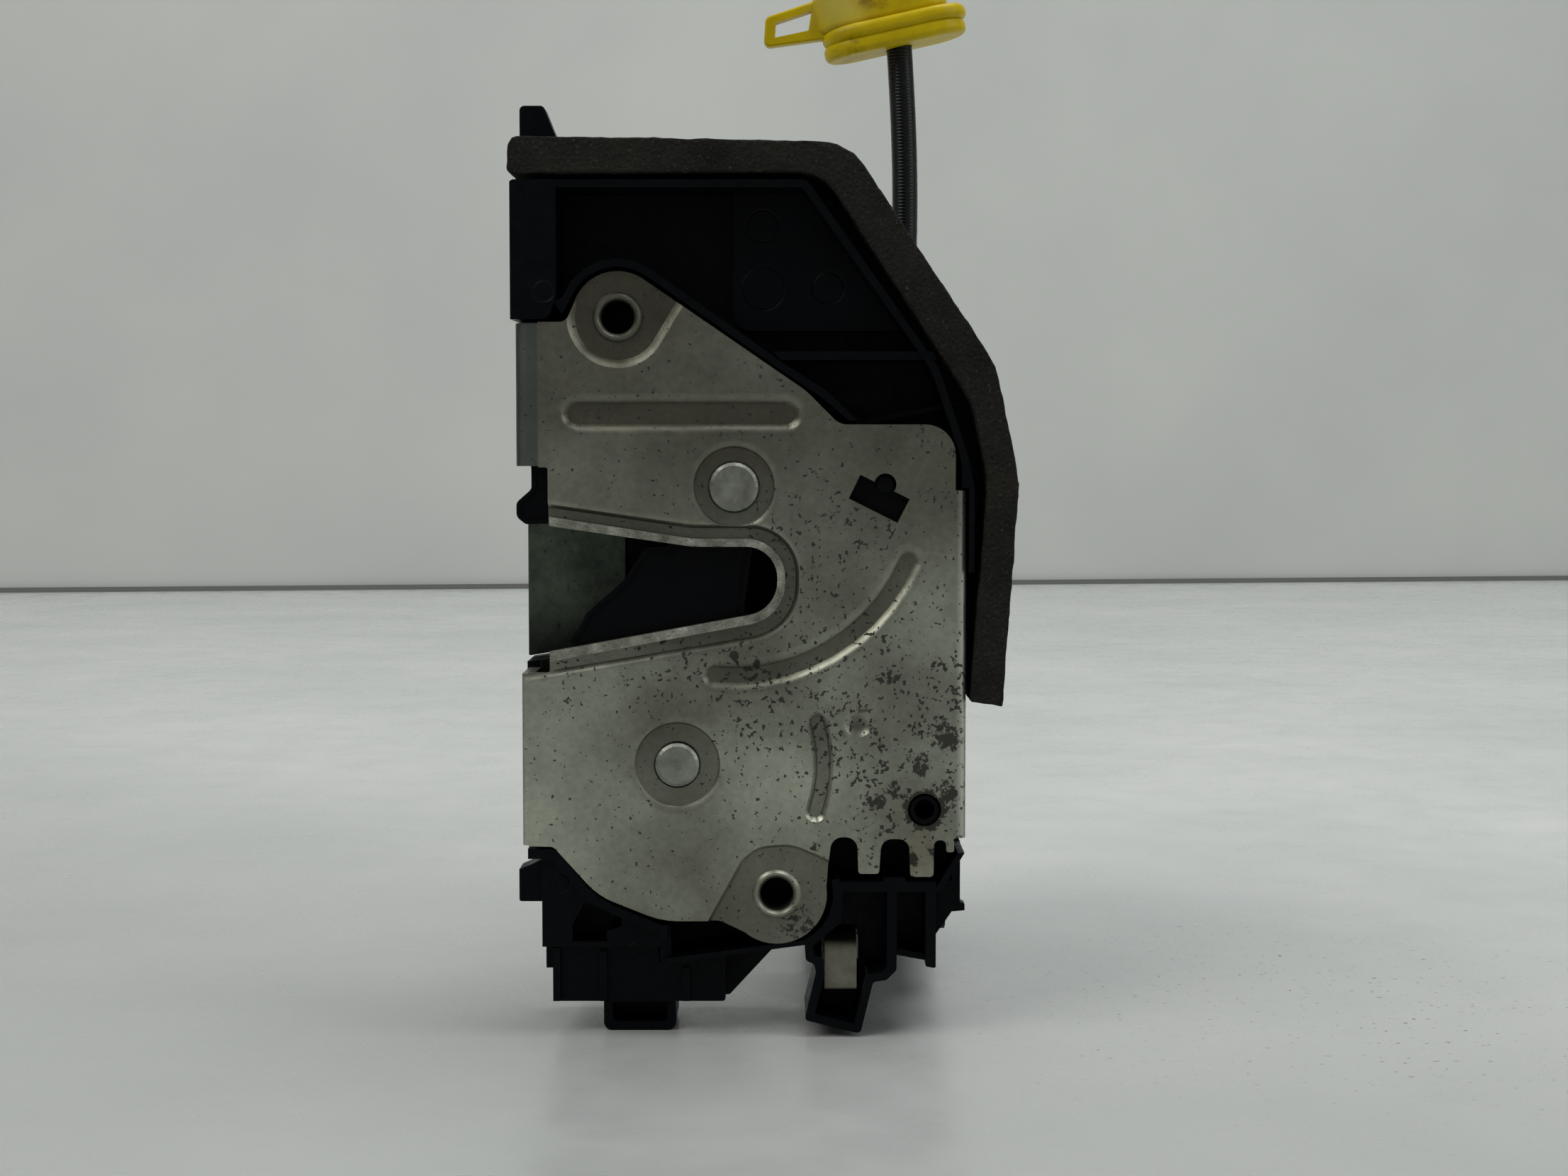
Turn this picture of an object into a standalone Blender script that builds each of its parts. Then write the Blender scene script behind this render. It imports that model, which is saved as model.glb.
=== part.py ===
# Car door lock: rotary catch and pawl between two steel plates, a moulded lock case with its
# foam seal, the locking drive behind it, and the outside handle's cable.
# Sizes are millimetres. X runs to the right along the face, Y back into the door, Z up, all
# counted from the catch pivot on the plate's outer face, and moved to the base at the end.

import math

import bmesh
import bpy
from mathutils import Matrix, Vector

MM = 0.001
GAP = 0.3                      # clearance between pieces that touch

# Layers, counted back from the outer face of the lock plate
PLATE_T = 2.0
CATCH_T = 6.0
SPRING_ROOM = 3.2
BACK_T = 2.0
WALL = 1.5                     # wall of the mouldings
RIM = 1.3                      # thin upright walls of the lock case
COLLAR_DEPTH = 11.0            # striker pocket behind the case floor
GUARD_T = 1.2
GUARD_LEFT = -36.2
GUARD_RIGHT = -19.2
GUARD_LAP = 2.0                # how far the guard laps over the pocket's end wall
CATCH_FRONT = PLATE_T + 0.5
CATCH_BACK = CATCH_FRONT + CATCH_T
BACK_FRONT = CATCH_BACK + SPRING_ROOM
BACK_BACK = BACK_FRONT + BACK_T
FLOOR_FRONT = BACK_BACK + GAP
FLOOR_BACK = FLOOR_FRONT + WALL
COLLAR_BACK = FLOOR_BACK + COLLAR_DEPTH
CASE_FRONT = -0.6              # front edge of the top frame
WEB_FRONT = 1.0                # front edge of the lower webs
BASE_Z = -91.5                 # what the lock stands on

# Pivots and their pins
CATCH_AT = (0.0, 0.0)
PAWL_AT = (-9.4, -45.8)
RELEASE_AT = (2.0, -58.0)
CATCH_PIN_R = 4.0
PAWL_PIN_R = 3.6
SHOULDER = 1.4                 # how far a pin's middle stands out past its ends
RELEASE_PIN_R = 2.2
CATCH_REACH = 37.4             # outer radius of the catch
CATCH_HUB_R = 9.3
HEEL_ANGLE = 223               # where the catch's latching face meets its outer edge
PAWL_HUB_R = 7.6
PAWL_REACH = 24.3              # from the pawl's pivot to its nose

# Lock plate
PLATE_LEFT = -35.0
PLATE_RIGHT = 38.2
BEND_LEFT = -35.8
FLANGE_DEPTH = 13.0
BORE_R = 2.75
BORES = {"upper": (-19.0, 27.7), "lower": (7.0, -67.4)}
THIRD_BORE = (31.4, -53.3)
LOBE_R = 7.5
LOWER_LOBE_R = 8.3
LIP_R = 3.5
PAD_R = 8.5
EMBOSS = 0.7
THREAD_R = 4.3
THREAD_LENGTH = 5.0
LIP_WIDTH = 1.3
CHANNEL_WIDTH = 2.6

# Foam seal and the flange that carries it
SEAL_LEFT = -37.0
SEAL_RIGHT = 46.9
SEAL_FRONT = -0.4
SEAL_DEPTH = 12.0
SEAL_FLANGE_T = 2.0

# Locking drive behind the case
DRIVE_LEFT = 12.0
DRIVE_RIGHT = 37.0
DRIVE_REAR = 100.0
DRIVE_TOP = 30.0
DRIVE_STEP = 18.0
DRIVE_UNDER = -80.0
DRIVE_WALL = 1.8
FOOT_LENGTH = 14.0
COVER_T = 1.7
SCREW_R = 1.4
SCREW_HEAD_R = 2.8
SCREW_HEAD_T = 1.6
BOSS_R = 3.2
MOTOR_R = 10.0
MOTOR_LENGTH = 26.0
WORM_R = 3.2
WORM_CORE_R = 2.2
WORM_TURNS = 6
WORM_PITCH = 3.0
WHEEL_R = 17.0
WHEEL_T = 5.0
WHEEL_TEETH = 30
TOOTH_DEPTH = 1.8
AXLE_R = 2.0

# Outside handle's lever and cable
ARM_LEFT = 15.0
ARM_RIGHT = 20.4
CABLE_D = 5.0
CABLE_AT = (31.4, DRIVE_REAR - 15.0)
FERRULE_R = 4.6
FERRULE_LENGTH = 12.0
FITTING_TILT = 15.0
WIRE_R = 0.9
NIPPLE_R = 3.0

ARC_STEP = 20.0                # degrees between the points of an arc
CIRCLE_POINTS = 20
FLAT_ANGLE = math.radians(0.4)
SHORT = 0.02                   # how far a joined member's face stays short of its neighbour's

parts = bpy.data.collections.new("car_door_lock")
helpers = bpy.data.collections.new("cutters")


# Scene and materials

def clear_scene():
    for old in list(bpy.data.objects):
        bpy.data.objects.remove(old, do_unlink=True)
    bpy.context.scene.collection.children.link(parts)
    bpy.context.scene.collection.children.link(helpers)


def material(name, colour, roughness, metallic=0.0):
    made = bpy.data.materials.new(name)
    made.use_nodes = True
    shader = made.node_tree.nodes["Principled BSDF"]
    shader.inputs["Base Color"].default_value = (*colour, 1.0)
    shader.inputs["Roughness"].default_value = roughness
    shader.inputs["Metallic"].default_value = metallic
    return made


# Outlines: corners are (u, v) or (u, v, fillet radius)

def arc(centre, radius, start, end):
    steps = max(2, math.ceil(abs(end - start) / ARC_STEP))
    angles = [math.radians(start + (end - start) * step / steps) for step in range(steps + 1)]
    return [(centre[0] + radius * math.cos(a), centre[1] + radius * math.sin(a)) for a in angles]


def circle(centre, radius, count=CIRCLE_POINTS):
    turn = 2 * math.pi / count
    return [(centre[0] + radius * math.cos(turn * i), centre[1] + radius * math.sin(turn * i))
            for i in range(count)]


def rounded(corners):
    points = []
    for index, corner in enumerate(corners):
        here = Vector(corner[:2])
        back = Vector(corners[index - 1][:2]) - here
        ahead = Vector(corners[(index + 1) % len(corners)][:2]) - here
        if len(corner) < 3 or corner[2] <= 0:
            points.append(tuple(here))
            continue
        angle = back.angle(ahead)
        reach = min(corner[2] / math.tan(angle / 2), 0.49 * back.length, 0.49 * ahead.length)
        radius = reach * math.tan(angle / 2)
        middle = (back.normalized() + ahead.normalized()).normalized()
        centre = here + middle * math.hypot(radius, reach)
        first = here + back.normalized() * reach - centre
        last = here + ahead.normalized() * reach - centre
        start = math.degrees(math.atan2(first.y, first.x))
        sweep = (math.degrees(math.atan2(last.y, last.x)) - start + 180) % 360 - 180
        points += arc(centre, radius, start, start + sweep)
    return points


def grown(corners, by):
    # The same outline with every side moved out by a distance (in, if it is negative)
    area = sum(a[0] * b[1] - b[0] * a[1] for a, b in zip(corners, corners[1:] + corners[:1]))
    side = 1 if area > 0 else -1
    result = []
    for index, corner in enumerate(corners):
        here = Vector(corner[:2])
        before = (here - Vector(corners[index - 1][:2])).normalized()
        after = (Vector(corners[(index + 1) % len(corners)][:2]) - here).normalized()
        normal_before = Vector((before.y, -before.x)) * side
        normal_after = Vector((after.y, -after.x)) * side
        share = 1 + normal_before.dot(normal_after)
        moved = here + (normal_before + normal_after) * by / share
        convex = (before.x * after.y - before.y * after.x) * side > 0
        radius = corner[2] if len(corner) > 2 else 0.0
        if radius:
            radius = max(0.2, radius + by if convex else radius - by)
        result.append((moved.x, moved.y, radius))
    return result


def stadium(start, end, radius):
    along = (Vector(end) - Vector(start)).normalized()
    heading = math.degrees(math.atan2(along.y, along.x))
    return arc(end, radius, heading - 90, heading + 90) + arc(start, radius, heading + 90, heading + 270)


def band(centre, inner, outer, start, end):
    # An arc-shaped bead with round ends
    half = (outer - inner) / 2
    middle = (inner + outer) / 2
    tip_start, tip_end = arc(centre, middle, start, end)[0], arc(centre, middle, start, end)[-1]
    return (arc(centre, outer, start, end) + arc(tip_end, half, end, end + 180)[1:-1]
            + arc(centre, inner, end, start) + arc(tip_start, half, start + 180, start + 360)[1:-1])


# Solids

AXES = {
    "X": Matrix(((0, 0, 1), (1, 0, 0), (0, 1, 0))),
    "Y": Matrix(((1, 0, 0), (0, 0, -1), (0, 1, 0))),
    "Z": Matrix.Identity(3),
}


def solid(name, shape):
    # A mesh object from a bmesh in millimetres, welded, facing outwards, with flat faces whole.
    # Places are rounded, so that faces that are meant to be flush are exactly so.
    bmesh.ops.remove_doubles(shape, verts=shape.verts, dist=0.001)
    bmesh.ops.recalc_face_normals(shape, faces=shape.faces)
    bmesh.ops.dissolve_limit(shape, angle_limit=FLAT_ANGLE, verts=shape.verts, edges=shape.edges)
    for vert in shape.verts:
        vert.co = [round(value, 4) * MM for value in vert.co]
    mesh = bpy.data.meshes.new(name)
    shape.to_mesh(mesh)
    shape.free()
    made = bpy.data.objects.new(name, mesh)
    helpers.objects.link(made)
    return made


def from_curve(name, curve, turn, shift):
    holder = bpy.data.objects.new(name, curve)
    helpers.objects.link(holder)
    graph = bpy.context.evaluated_depsgraph_get()
    mesh = bpy.data.meshes.new_from_object(holder.evaluated_get(graph))
    shape = bmesh.new()
    shape.from_mesh(mesh)
    bmesh.ops.transform(shape, matrix=Matrix.Translation(shift) @ turn.to_4x4(), verts=shape.verts)
    bpy.data.objects.remove(holder, do_unlink=True)
    bpy.data.meshes.remove(mesh)
    return solid(name, shape)


def slab(name, corners, low, high, axis="Y", holes=()):
    # A flat outline with a thickness along one axis. Outlines are (x, z) for Y, (y, z) for X
    # and (x, y) for Z.
    curve = bpy.data.curves.new(name, "CURVE")
    curve.dimensions = "2D"
    curve.fill_mode = "BOTH"
    curve.extrude = (high - low) / 2
    for loop in (corners, *holes):
        points = rounded(loop)
        spline = curve.splines.new("POLY")
        spline.points.add(len(points) - 1)
        for point, (u, v) in zip(spline.points, points):
            point.co = (u, v, 0.0, 1.0)
        spline.use_cyclic_u = True
    middle = (low + high) / 2
    shift = {"X": (middle, 0, 0), "Y": (0, middle, 0), "Z": (0, 0, middle)}[axis]
    return from_curve(name, curve, AXES[axis], Vector(shift))


def block(name, low, high, radius=0.0):
    corners = [(low[0], low[2], radius), (high[0], low[2], radius),
               (high[0], high[2], radius), (low[0], high[2], radius)]
    return slab(name, corners, low[1], high[1])


def wire(name, points, radius, sides=2):
    curve = bpy.data.curves.new(name, "CURVE")
    curve.dimensions = "3D"
    curve.bevel_depth = radius
    curve.bevel_resolution = sides
    curve.use_fill_caps = True
    spline = curve.splines.new("POLY")
    spline.points.add(len(points) - 1)
    for point, place in zip(spline.points, points):
        point.co = (*place, 1.0)
    return from_curve(name, curve, AXES["Z"], Vector((0, 0, 0)))


def turned(name, profile, at, axis="Y", steps=0):
    # A profile of (radius, distance along the axis), revolved about the axis through a point
    reach = max(radius for radius, along in profile)
    steps = steps or (12 if reach < 2.5 else 16 if reach < 4.5 else 24)
    shape = bmesh.new()
    corners = [shape.verts.new((radius, 0, along)) for radius, along in profile]
    sides = [shape.edges.new(pair) for pair in zip(corners, corners[1:])]
    if profile[0][0] > 0:
        sides.append(shape.edges.new((corners[-1], corners[0])))
    bmesh.ops.spin(shape, geom=corners + sides, cent=(0, 0, 0), axis=(0, 0, 1),
                   angle=2 * math.pi, steps=steps, use_merge=True)
    bmesh.ops.remove_doubles(shape, verts=shape.verts, dist=0.001)
    turn = {"X": Matrix.Rotation(math.pi / 2, 4, "Y"), "Z": Matrix.Identity(4),
            "Y": Matrix.Rotation(-math.pi / 2, 4, "X")}[axis]
    bmesh.ops.transform(shape, matrix=Matrix.Translation(at) @ turn, verts=shape.verts)
    return solid(name, shape)


def rod(name, radius, low, high, at, axis="Y"):
    # A plain round pin; at gives the two coordinates across the axis, in X, Y, Z order
    place = {"X": (0, at[0], at[1]), "Y": (at[0], 0, at[1]), "Z": (at[0], at[1], 0)}[axis]
    return turned(name, [(0, high), (radius, high), (radius, low), (0, low)], place, axis)


def combine(target, operation, tools):
    for tool in tools:
        change = target.modifiers.new(tool.name, "BOOLEAN")
        change.operation = operation
        change.object = tool
        tool.hide_render = True
        tool.display_type = "WIRE"
    return target


def join(target, *tools):
    return combine(target, "UNION", tools)


def cut(target, *tools):
    return combine(target, "DIFFERENCE", tools)


def finish(piece, name, look):
    piece.name = name
    piece.data.name = name
    helpers.objects.unlink(piece)
    parts.objects.link(piece)
    piece.data.materials.append(look)
    flat = piece.modifiers.new("whole_flats", "DECIMATE")
    flat.decimate_type = "DISSOLVE"
    flat.angle_limit = FLAT_ANGLE
    return piece


# Plates and pivots

def mouth(by=0.0):
    # The striker's way in, open to the left
    shape = [(-44.0, -4.4), (-30.3, -6.2), (-6.8, -9.8, 20.0), (7.1, -9.8, 5.2), (7.1, -20.2, 5.6),
             (-30.3, -27.4), (-44.0, -29.6)]
    return grown(shape, by)


def plate_outline():
    upper, lower = BORES["upper"], BORES["lower"]
    return [
        (-32.0, 26.9), (-27.4, 26.9, 1.6), *arc(upper, LOBE_R, 165, 56),
        (11.8, 15.7, 8.0), (17.3, 10.2, 3.0), (PLATE_RIGHT - 1.9, 10.2, 5.0),
        (PLATE_RIGHT - 1.9, -60.3, 0.4), (35.0, -60.3, 0.4), (35.0, -58.3, 0.9), (33.0, -58.3, 0.9),
        (32.9, -64.4, 0.6), (29.1, -64.4, 0.6), (28.9, -58.1, 1.9), (24.3, -58.1, 1.9),
        (23.9, -63.9, 0.5), (20.5, -63.9, 0.5), (20.3, -57.8, 2.0), (16.1, -57.8, 2.0),
        (15.5, -62.5, 1.0), *arc(lower, LOWER_LOBE_R, 8, -130), (-2.4, -71.8, 3.0),
        (-12.0, -71.8, 14.0), (-22.5, -67.6, 12.0), (-29.9, -59.4, 1.2), (PLATE_LEFT + 1.0, -59.3),
        (PLATE_LEFT + 1.0, -30.6), (-30.4, -30.6, 0.4), (-30.5, 3.2, 0.4), (-32.0, 3.2),
    ]


def tilted_hole(by=0.0):
    return grown([(20.7, 2.0), (18.8, -1.9), (26.8, -5.9), (28.8, -2.0)], by)


def folded_edge(name, edge, low, high, radius):
    # A side flange: the edge of the plate bent back with a rounded fold
    toward = 1 if edge < 0 else -1
    inner = edge + toward * PLATE_T
    front, back = SHORT, PLATE_T - SHORT
    section = [(inner + toward * 2.5, front), (edge, front, radius), (edge, FLANGE_DEPTH),
               (inner, FLANGE_DEPTH), (inner, back, 0.6), (inner + toward * 2.5, back)]
    return slab(name, section, low, high, "Z")


def make_lock_plate(steel):
    plate = slab("lock_plate", plate_outline(), 0.0, PLATE_T)
    join(plate, folded_edge("upper_left_fold", BEND_LEFT, 3.4, 26.7, 3.0),
         folded_edge("lower_left_fold", PLATE_LEFT, -59.2, -30.8, 1.4),
         folded_edge("right_fold", PLATE_RIGHT, -58.0, -0.6, 1.4))
    for place, pad in (("upper", PAD_R), ("lower", PAD_R - 0.7)):
        at = BORES[place]
        cut(plate, rod(place + "_pad", pad, -1.0, EMBOSS, at))
        join(plate, rod(place + "_lip", LIP_R, 0.1, PLATE_T + 0.1, at),
             rod(place + "_thread", THREAD_R, EMBOSS + 0.2, PLATE_T + THREAD_LENGTH, at))
        cut(plate, rod(place + "_bore", BORE_R, -1.0, PLATE_T + THREAD_LENGTH + 1.0, at))
    cut(plate, rod("third_bore", BORE_R, -1.0, PLATE_T + 1.0, THIRD_BORE),
        slab("mouth_channel", mouth(LIP_WIDTH + CHANNEL_WIDTH), -1.0, EMBOSS,
             holes=[mouth(LIP_WIDTH)]),
        slab("striker_mouth", mouth(), -1.0, PLATE_T + 1.0),
        slab("long_bead", stadium((-25.7, 11.9), (8.5, 11.9), 2.0), -1.0, EMBOSS),
        slab("tilted_hole", tilted_hole(), -1.0, PLATE_T + 1.0),
        rod("tilted_hole_notch", 1.8, -1.0, PLATE_T + 1.0, (24.8, 0.4)),
        rod("catch_rivet_ring", CATCH_PIN_R + 2.5, -1.0, EMBOSS - 0.2, CATCH_AT),
        rod("catch_rivet_hole", CATCH_PIN_R + GAP, -1.0, PLATE_T + 1.0, CATCH_AT),
        rod("pawl_rivet_ring", PAWL_PIN_R + 3.4, -1.0, EMBOSS - 0.2, PAWL_AT),
        rod("pawl_rivet_hole", PAWL_PIN_R + GAP, -1.0, PLATE_T + 1.0, PAWL_AT),
        slab("sweep_groove", band(CATCH_AT, 29.4, 32.8, -96, -23), -1.0, EMBOSS - 0.1),
        slab("upright_bead", band(PAWL_AT, 22.2, 26.0, -19, 17), -1.0, EMBOSS - 0.1),
        rod("dimple", 2.3, -1.0, EMBOSS - 0.1, (20.4, -38.9)))
    return finish(plate, "lock_plate", steel)


def make_back_plate(steel):
    outline = [(-33.0, 8.5, 3.0), (10.0, 11.5, 6.0), (14.5, -4.0, 8.0), (14.5, -40.0, 8.0),
               (8.5, -63.0, 5.0), (-18.0, -57.0, 8.0), (-33.0, -38.0, 5.0)]
    plate = slab("back_plate", outline, BACK_FRONT, BACK_BACK)
    cut(plate, slab("striker_slot", mouth(1.5), BACK_FRONT - 1, BACK_BACK + 1))
    for name, at, radius in (("catch", CATCH_AT, CATCH_PIN_R), ("pawl", PAWL_AT, PAWL_PIN_R),
                             ("release", RELEASE_AT, RELEASE_PIN_R)):
        cut(plate, rod(name + "_seat", radius + GAP, BACK_FRONT - 1, BACK_BACK + 1, at))
    return finish(plate, "back_plate", steel)


def make_pivot(name, at, radius, steel):
    # Shouldered rivet: its ends sit in the plates and its thicker middle carries the piece
    shoulder = radius + SHOULDER
    low, high = PLATE_T + GAP, BACK_FRONT - GAP
    profile = [(0, BACK_BACK - 0.2), (radius - 0.5, BACK_BACK - 0.2), (radius, BACK_BACK - 0.6),
               (radius, high), (shoulder, high), (shoulder, low), (radius, low),
               (radius, 0.1), (radius - 0.5, -0.3), (0, -0.3)]
    return finish(turned(name, profile, (at[0], 0, at[1])), name, steel)


def make_release_pivot(steel):
    head = RELEASE_PIN_R + 1.3
    profile = [(0, BACK_BACK - 0.2), (RELEASE_PIN_R, BACK_BACK - 0.2), (RELEASE_PIN_R, CATCH_FRONT + 1),
               (head, CATCH_FRONT + 1), (head, CATCH_FRONT), (0, CATCH_FRONT)]
    pin = turned("release_pivot", profile, (RELEASE_AT[0], 0, RELEASE_AT[1]))
    return finish(pin, "release_pivot", steel)


# Catch and pawl

def around(pivot, distance, degrees):
    angle = math.radians(degrees)
    return pivot[0] + distance * math.cos(angle), pivot[1] + distance * math.sin(angle)


def catch_outline(by=0.0):
    # Drawn open: hook to the left, striker slot between hook and arm, latching face at lower left
    heel = around(CATCH_AT, CATCH_REACH, HEEL_ANGLE)
    tip = -CATCH_REACH
    shape = [
        *arc(CATCH_AT, CATCH_HUB_R, -70, 100), (-12.0, 7.4, 20.0),
        (tip + 4.2, 2.9, 0.7), (tip + 4.0, -0.4, 1.2), (tip + 1.5, -2.6, 1.2), (tip + 1.5, -5.0, 1.3),
        (tip + 3.0, -6.2, 1.0), (tip + 7.0, -6.1, 0.8),
        (tip + 12.4, 1.3, 4.0), (-9.2, 1.3, 5.5), (-9.2, -9.9, 5.5), (-14.6, -9.9, 1.2),
        (-18.4, -15.6, 8.0), (heel[0] + 2.9, heel[1] + 4.6, 1.4), (heel[0] + 1.9, heel[1] + 2.5, 2.0),
        *arc(CATCH_AT, CATCH_REACH, HEEL_ANGLE, 273), (1.6, -20.0, 12.0),
    ]
    return grown(shape, by)


def make_catch(steel, plastic):
    inset, side = 1.3, 1.1
    core = slab("catch_core", catch_outline(-inset), CATCH_FRONT + side, CATCH_BACK - side)
    heel = around(CATCH_AT, CATCH_REACH, HEEL_ANGLE)
    face = [(heel[0] + u, heel[1] + v) for u, v in ((4.9, 1.9), (1.4, 5.7), (-2.0, 0.3), (1.0, -1.7))]
    nose = slab("latching_nose", face, CATCH_FRONT + side, CATCH_BACK - side)
    nose_limit = slab("nose_limit", catch_outline(-0.15), CATCH_FRONT, CATCH_BACK)
    combine(nose, "INTERSECT", [nose_limit])
    join(core, nose)
    hole = CATCH_PIN_R + SHOULDER + GAP
    cut(core, rod("core_bore", hole, CATCH_FRONT, CATCH_BACK, CATCH_AT))
    jacket = slab("catch_jacket", catch_outline(), CATCH_FRONT, CATCH_BACK)
    cut(jacket, slab("core_pocket", catch_outline(-inset + GAP), CATCH_FRONT + side - GAP,
                     CATCH_BACK - side + GAP),
        slab("nose_window", grown(face, GAP + 0.6), CATCH_FRONT + side - GAP, CATCH_BACK - side + GAP),
        rod("jacket_bore", hole, CATCH_FRONT - 1, CATCH_BACK + 1, CATCH_AT),
        slab("edge_line", catch_outline(-0.7), CATCH_FRONT - 1, CATCH_FRONT + 0.25,
             holes=[catch_outline(-1.3)]))
    return finish(core, "catch_core", steel), finish(jacket, "catch_jacket", plastic)


def make_pawl(steel):
    # Drawn released, just outside the catch's sweep
    nose = [around(PAWL_AT, PAWL_REACH, degrees) for degrees in (8, 12, 17, 22.5)]
    outline = [
        *nose, (*around(PAWL_AT, 19.5, 16.5), 2.0), (*around(PAWL_AT, 13.0, 26.0), 3.0),
        *arc(PAWL_AT, PAWL_HUB_R, 62, 190), (-20.8, -51.6, 1.5), (-20.6, -55.0, 1.5),
        (-17.0, -56.6, 1.2), (-10.5, -54.2, 3.0), *arc(PAWL_AT, PAWL_HUB_R, 285, 320),
    ]
    pawl = slab("pawl", outline, CATCH_FRONT, CATCH_BACK)
    cut(pawl, rod("pawl_bore", PAWL_PIN_R + SHOULDER + GAP, CATCH_FRONT - 1, CATCH_BACK + 1, PAWL_AT))
    return finish(pawl, "pawl", steel)


def make_release_lever(steel):
    outline = [*arc(RELEASE_AT, 4.2, -110, 100), (-6.0, -56.2, 4.0), (-16.5, -57.1, 1.0),
               (-18.6, -57.3, 1.0), (-18.4, -60.2, 1.4), (-8.0, -60.9, 6.0)]
    lever = slab("release_lever", outline, CATCH_FRONT + 1.4, CATCH_FRONT + 4.4)
    cut(lever, rod("release_bore", RELEASE_PIN_R + GAP, CATCH_FRONT, CATCH_BACK, RELEASE_AT))
    return finish(lever, "release_lever", steel)


def make_spring(name, at, radius, leg, steel):
    # Two turns round the pivot's shoulder, with a straight leg at each end
    wire_r, turns, points_a_turn = 0.4, 2, 14
    low = CATCH_BACK + GAP + wire_r
    high = BACK_FRONT - GAP - wire_r
    steps = turns * points_a_turn
    coil = []
    for step in range(steps + 1):
        place = around(at, radius, leg + 360 * step / points_a_turn)
        coil.append((place[0], low + (high - low) * step / steps, place[1]))
    start = around(at, radius + 5.0, leg - 25)
    end = around(at, radius + 5.0, leg + 25)
    points = [(start[0], low, start[1]), *coil, (end[0], high, end[1])]
    return finish(wire(name, points, wire_r, 1), name, steel)


# Lock case, seal and the small pieces in it

def edge_wall():
    # Follows the lock plate's upper edge from the left block to the right
    upper = BORES["upper"]
    inner = LOBE_R + 0.7
    outer = inner + RIM
    return [(-29.4, 30.2), *arc(upper, outer, 160, 56), (8.6, 19.8, 6.0), (15.3, 15.6, 5.0),
            (20.2, 10.9), (19.0, 10.7), (14.4, 14.6, 5.0), (6.9, 19.6, 6.0),
            *arc(upper, inner, 56, 160), (-28.0, 28.2)]


def seal_outer(by=0.0):
    return [(SEAL_LEFT - by, 57.2 + by, 2.4), (18.8 + by / 2, 56.2 + by, 9.0),
            (43.0 + by, 19.8 + by / 2, 13.0), (SEAL_RIGHT + by, 1.0, 18.0), (44.3 + by, -36.4 - by, 0.5)]


def seal_inner():
    return [(38.7, -35.4, 0.5), (41.4, 1.5, 16.0), (38.8, 13.6, 9.0), (14.4, 50.9, 7.0),
            (SEAL_LEFT, 50.7, 1.2)]


def make_foam_seal(foam):
    seal = slab("foam_seal", seal_outer() + seal_inner(), SEAL_FRONT, SEAL_FRONT + SEAL_DEPTH)
    return finish(seal, "foam_seal", foam)


def case_floor():
    return [(-36.4, 49.9), (11.9, 49.9, 2.0), (33.5, 19.4, 14.0), (38.6, 4.0, 12.0), (39.1, -0.9),
            (39.1, -13.7), (36.0, -15.5), (36.0, -58.0), (38.2, -60.6), (38.2, -70.8), (33.4, -77.7),
            (31.7, -79.4), (26.9, -78.4), (25.3, -66.0), (16.4, -66.0), (16.4, -72.0), (12.2, -76.0), (-10.8, -79.1),
            (-12.4, -76.7), (-32.1, -76.7), (-32.1, -61.9), (-34.2, -59.9), (-34.6, -30.0),
            (-34.6, 2.6), (-36.4, 27.4)]


def make_top_frame():
    front, back = CASE_FRONT, FLOOR_BACK
    frame = [(-36.4, 49.9, 0.8), (11.9, 49.9, 2.0), (33.5, 19.4, 14.0), (38.6, 4.0, 12.0),
             (39.4, -0.6), (39.4, -14.0), (38.5, -14.0), (38.5, -0.2), (38.6 - RIM, -0.2),
             (38.6 - RIM, 4.3, 11.0), (32.3, 19.0, 13.0), (11.2, 49.9 - RIM, 1.2),
             (-36.4, 49.9 - RIM)]
    block_side = [(-36.4, 49.6), (-28.9, 49.6), (-28.9, 31.0, 2.0), (-30.2, 27.3, 2.0), (-36.4, 27.3)]
    step = [(-0.2, 49.3), (11.3, 49.3), (28.0, 25.8), (-0.2, 25.8, 3.0)]
    flange_front = SEAL_FRONT + SEAL_DEPTH + GAP
    flange = seal_outer(-0.8) + [(38.6, -34.8), (38.6, -0.7), (38.0, 0.1), (38.0, 4.0, 12.0),
                                 (33.0, 19.0, 14.0), (11.5, 49.3), (SEAL_LEFT + 0.8, 49.3)]
    return [
        slab("frame_wall", frame, front, back),
        slab("left_block", block_side, front, back),
        slab("edge_wall", edge_wall(), front + 0.4, back),
        slab("pocket_rib", [(7.6, 20.7), (33.2, 20.7), (32.4, 22.1), (6.4, 22.1)], front + 0.4, back),
        slab("pocket_step", step, 9.0, back),
        slab("slanted_ridge", [(22.0, 10.3), (37.5, 13.4), (37.5, 14.2), (22.0, 11.1)], 7.0, back),
        slab("seal_flange", flange, flange_front, flange_front + SEAL_FLANGE_T),
        slab("top_tab", [(-36.0, 54.0), (-28.2, 54.0), (-32.0, 63.4, 0.8), (-36.0, 63.4, 0.8)],
             flange_front, flange_front + 5.0),
    ]


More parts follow.
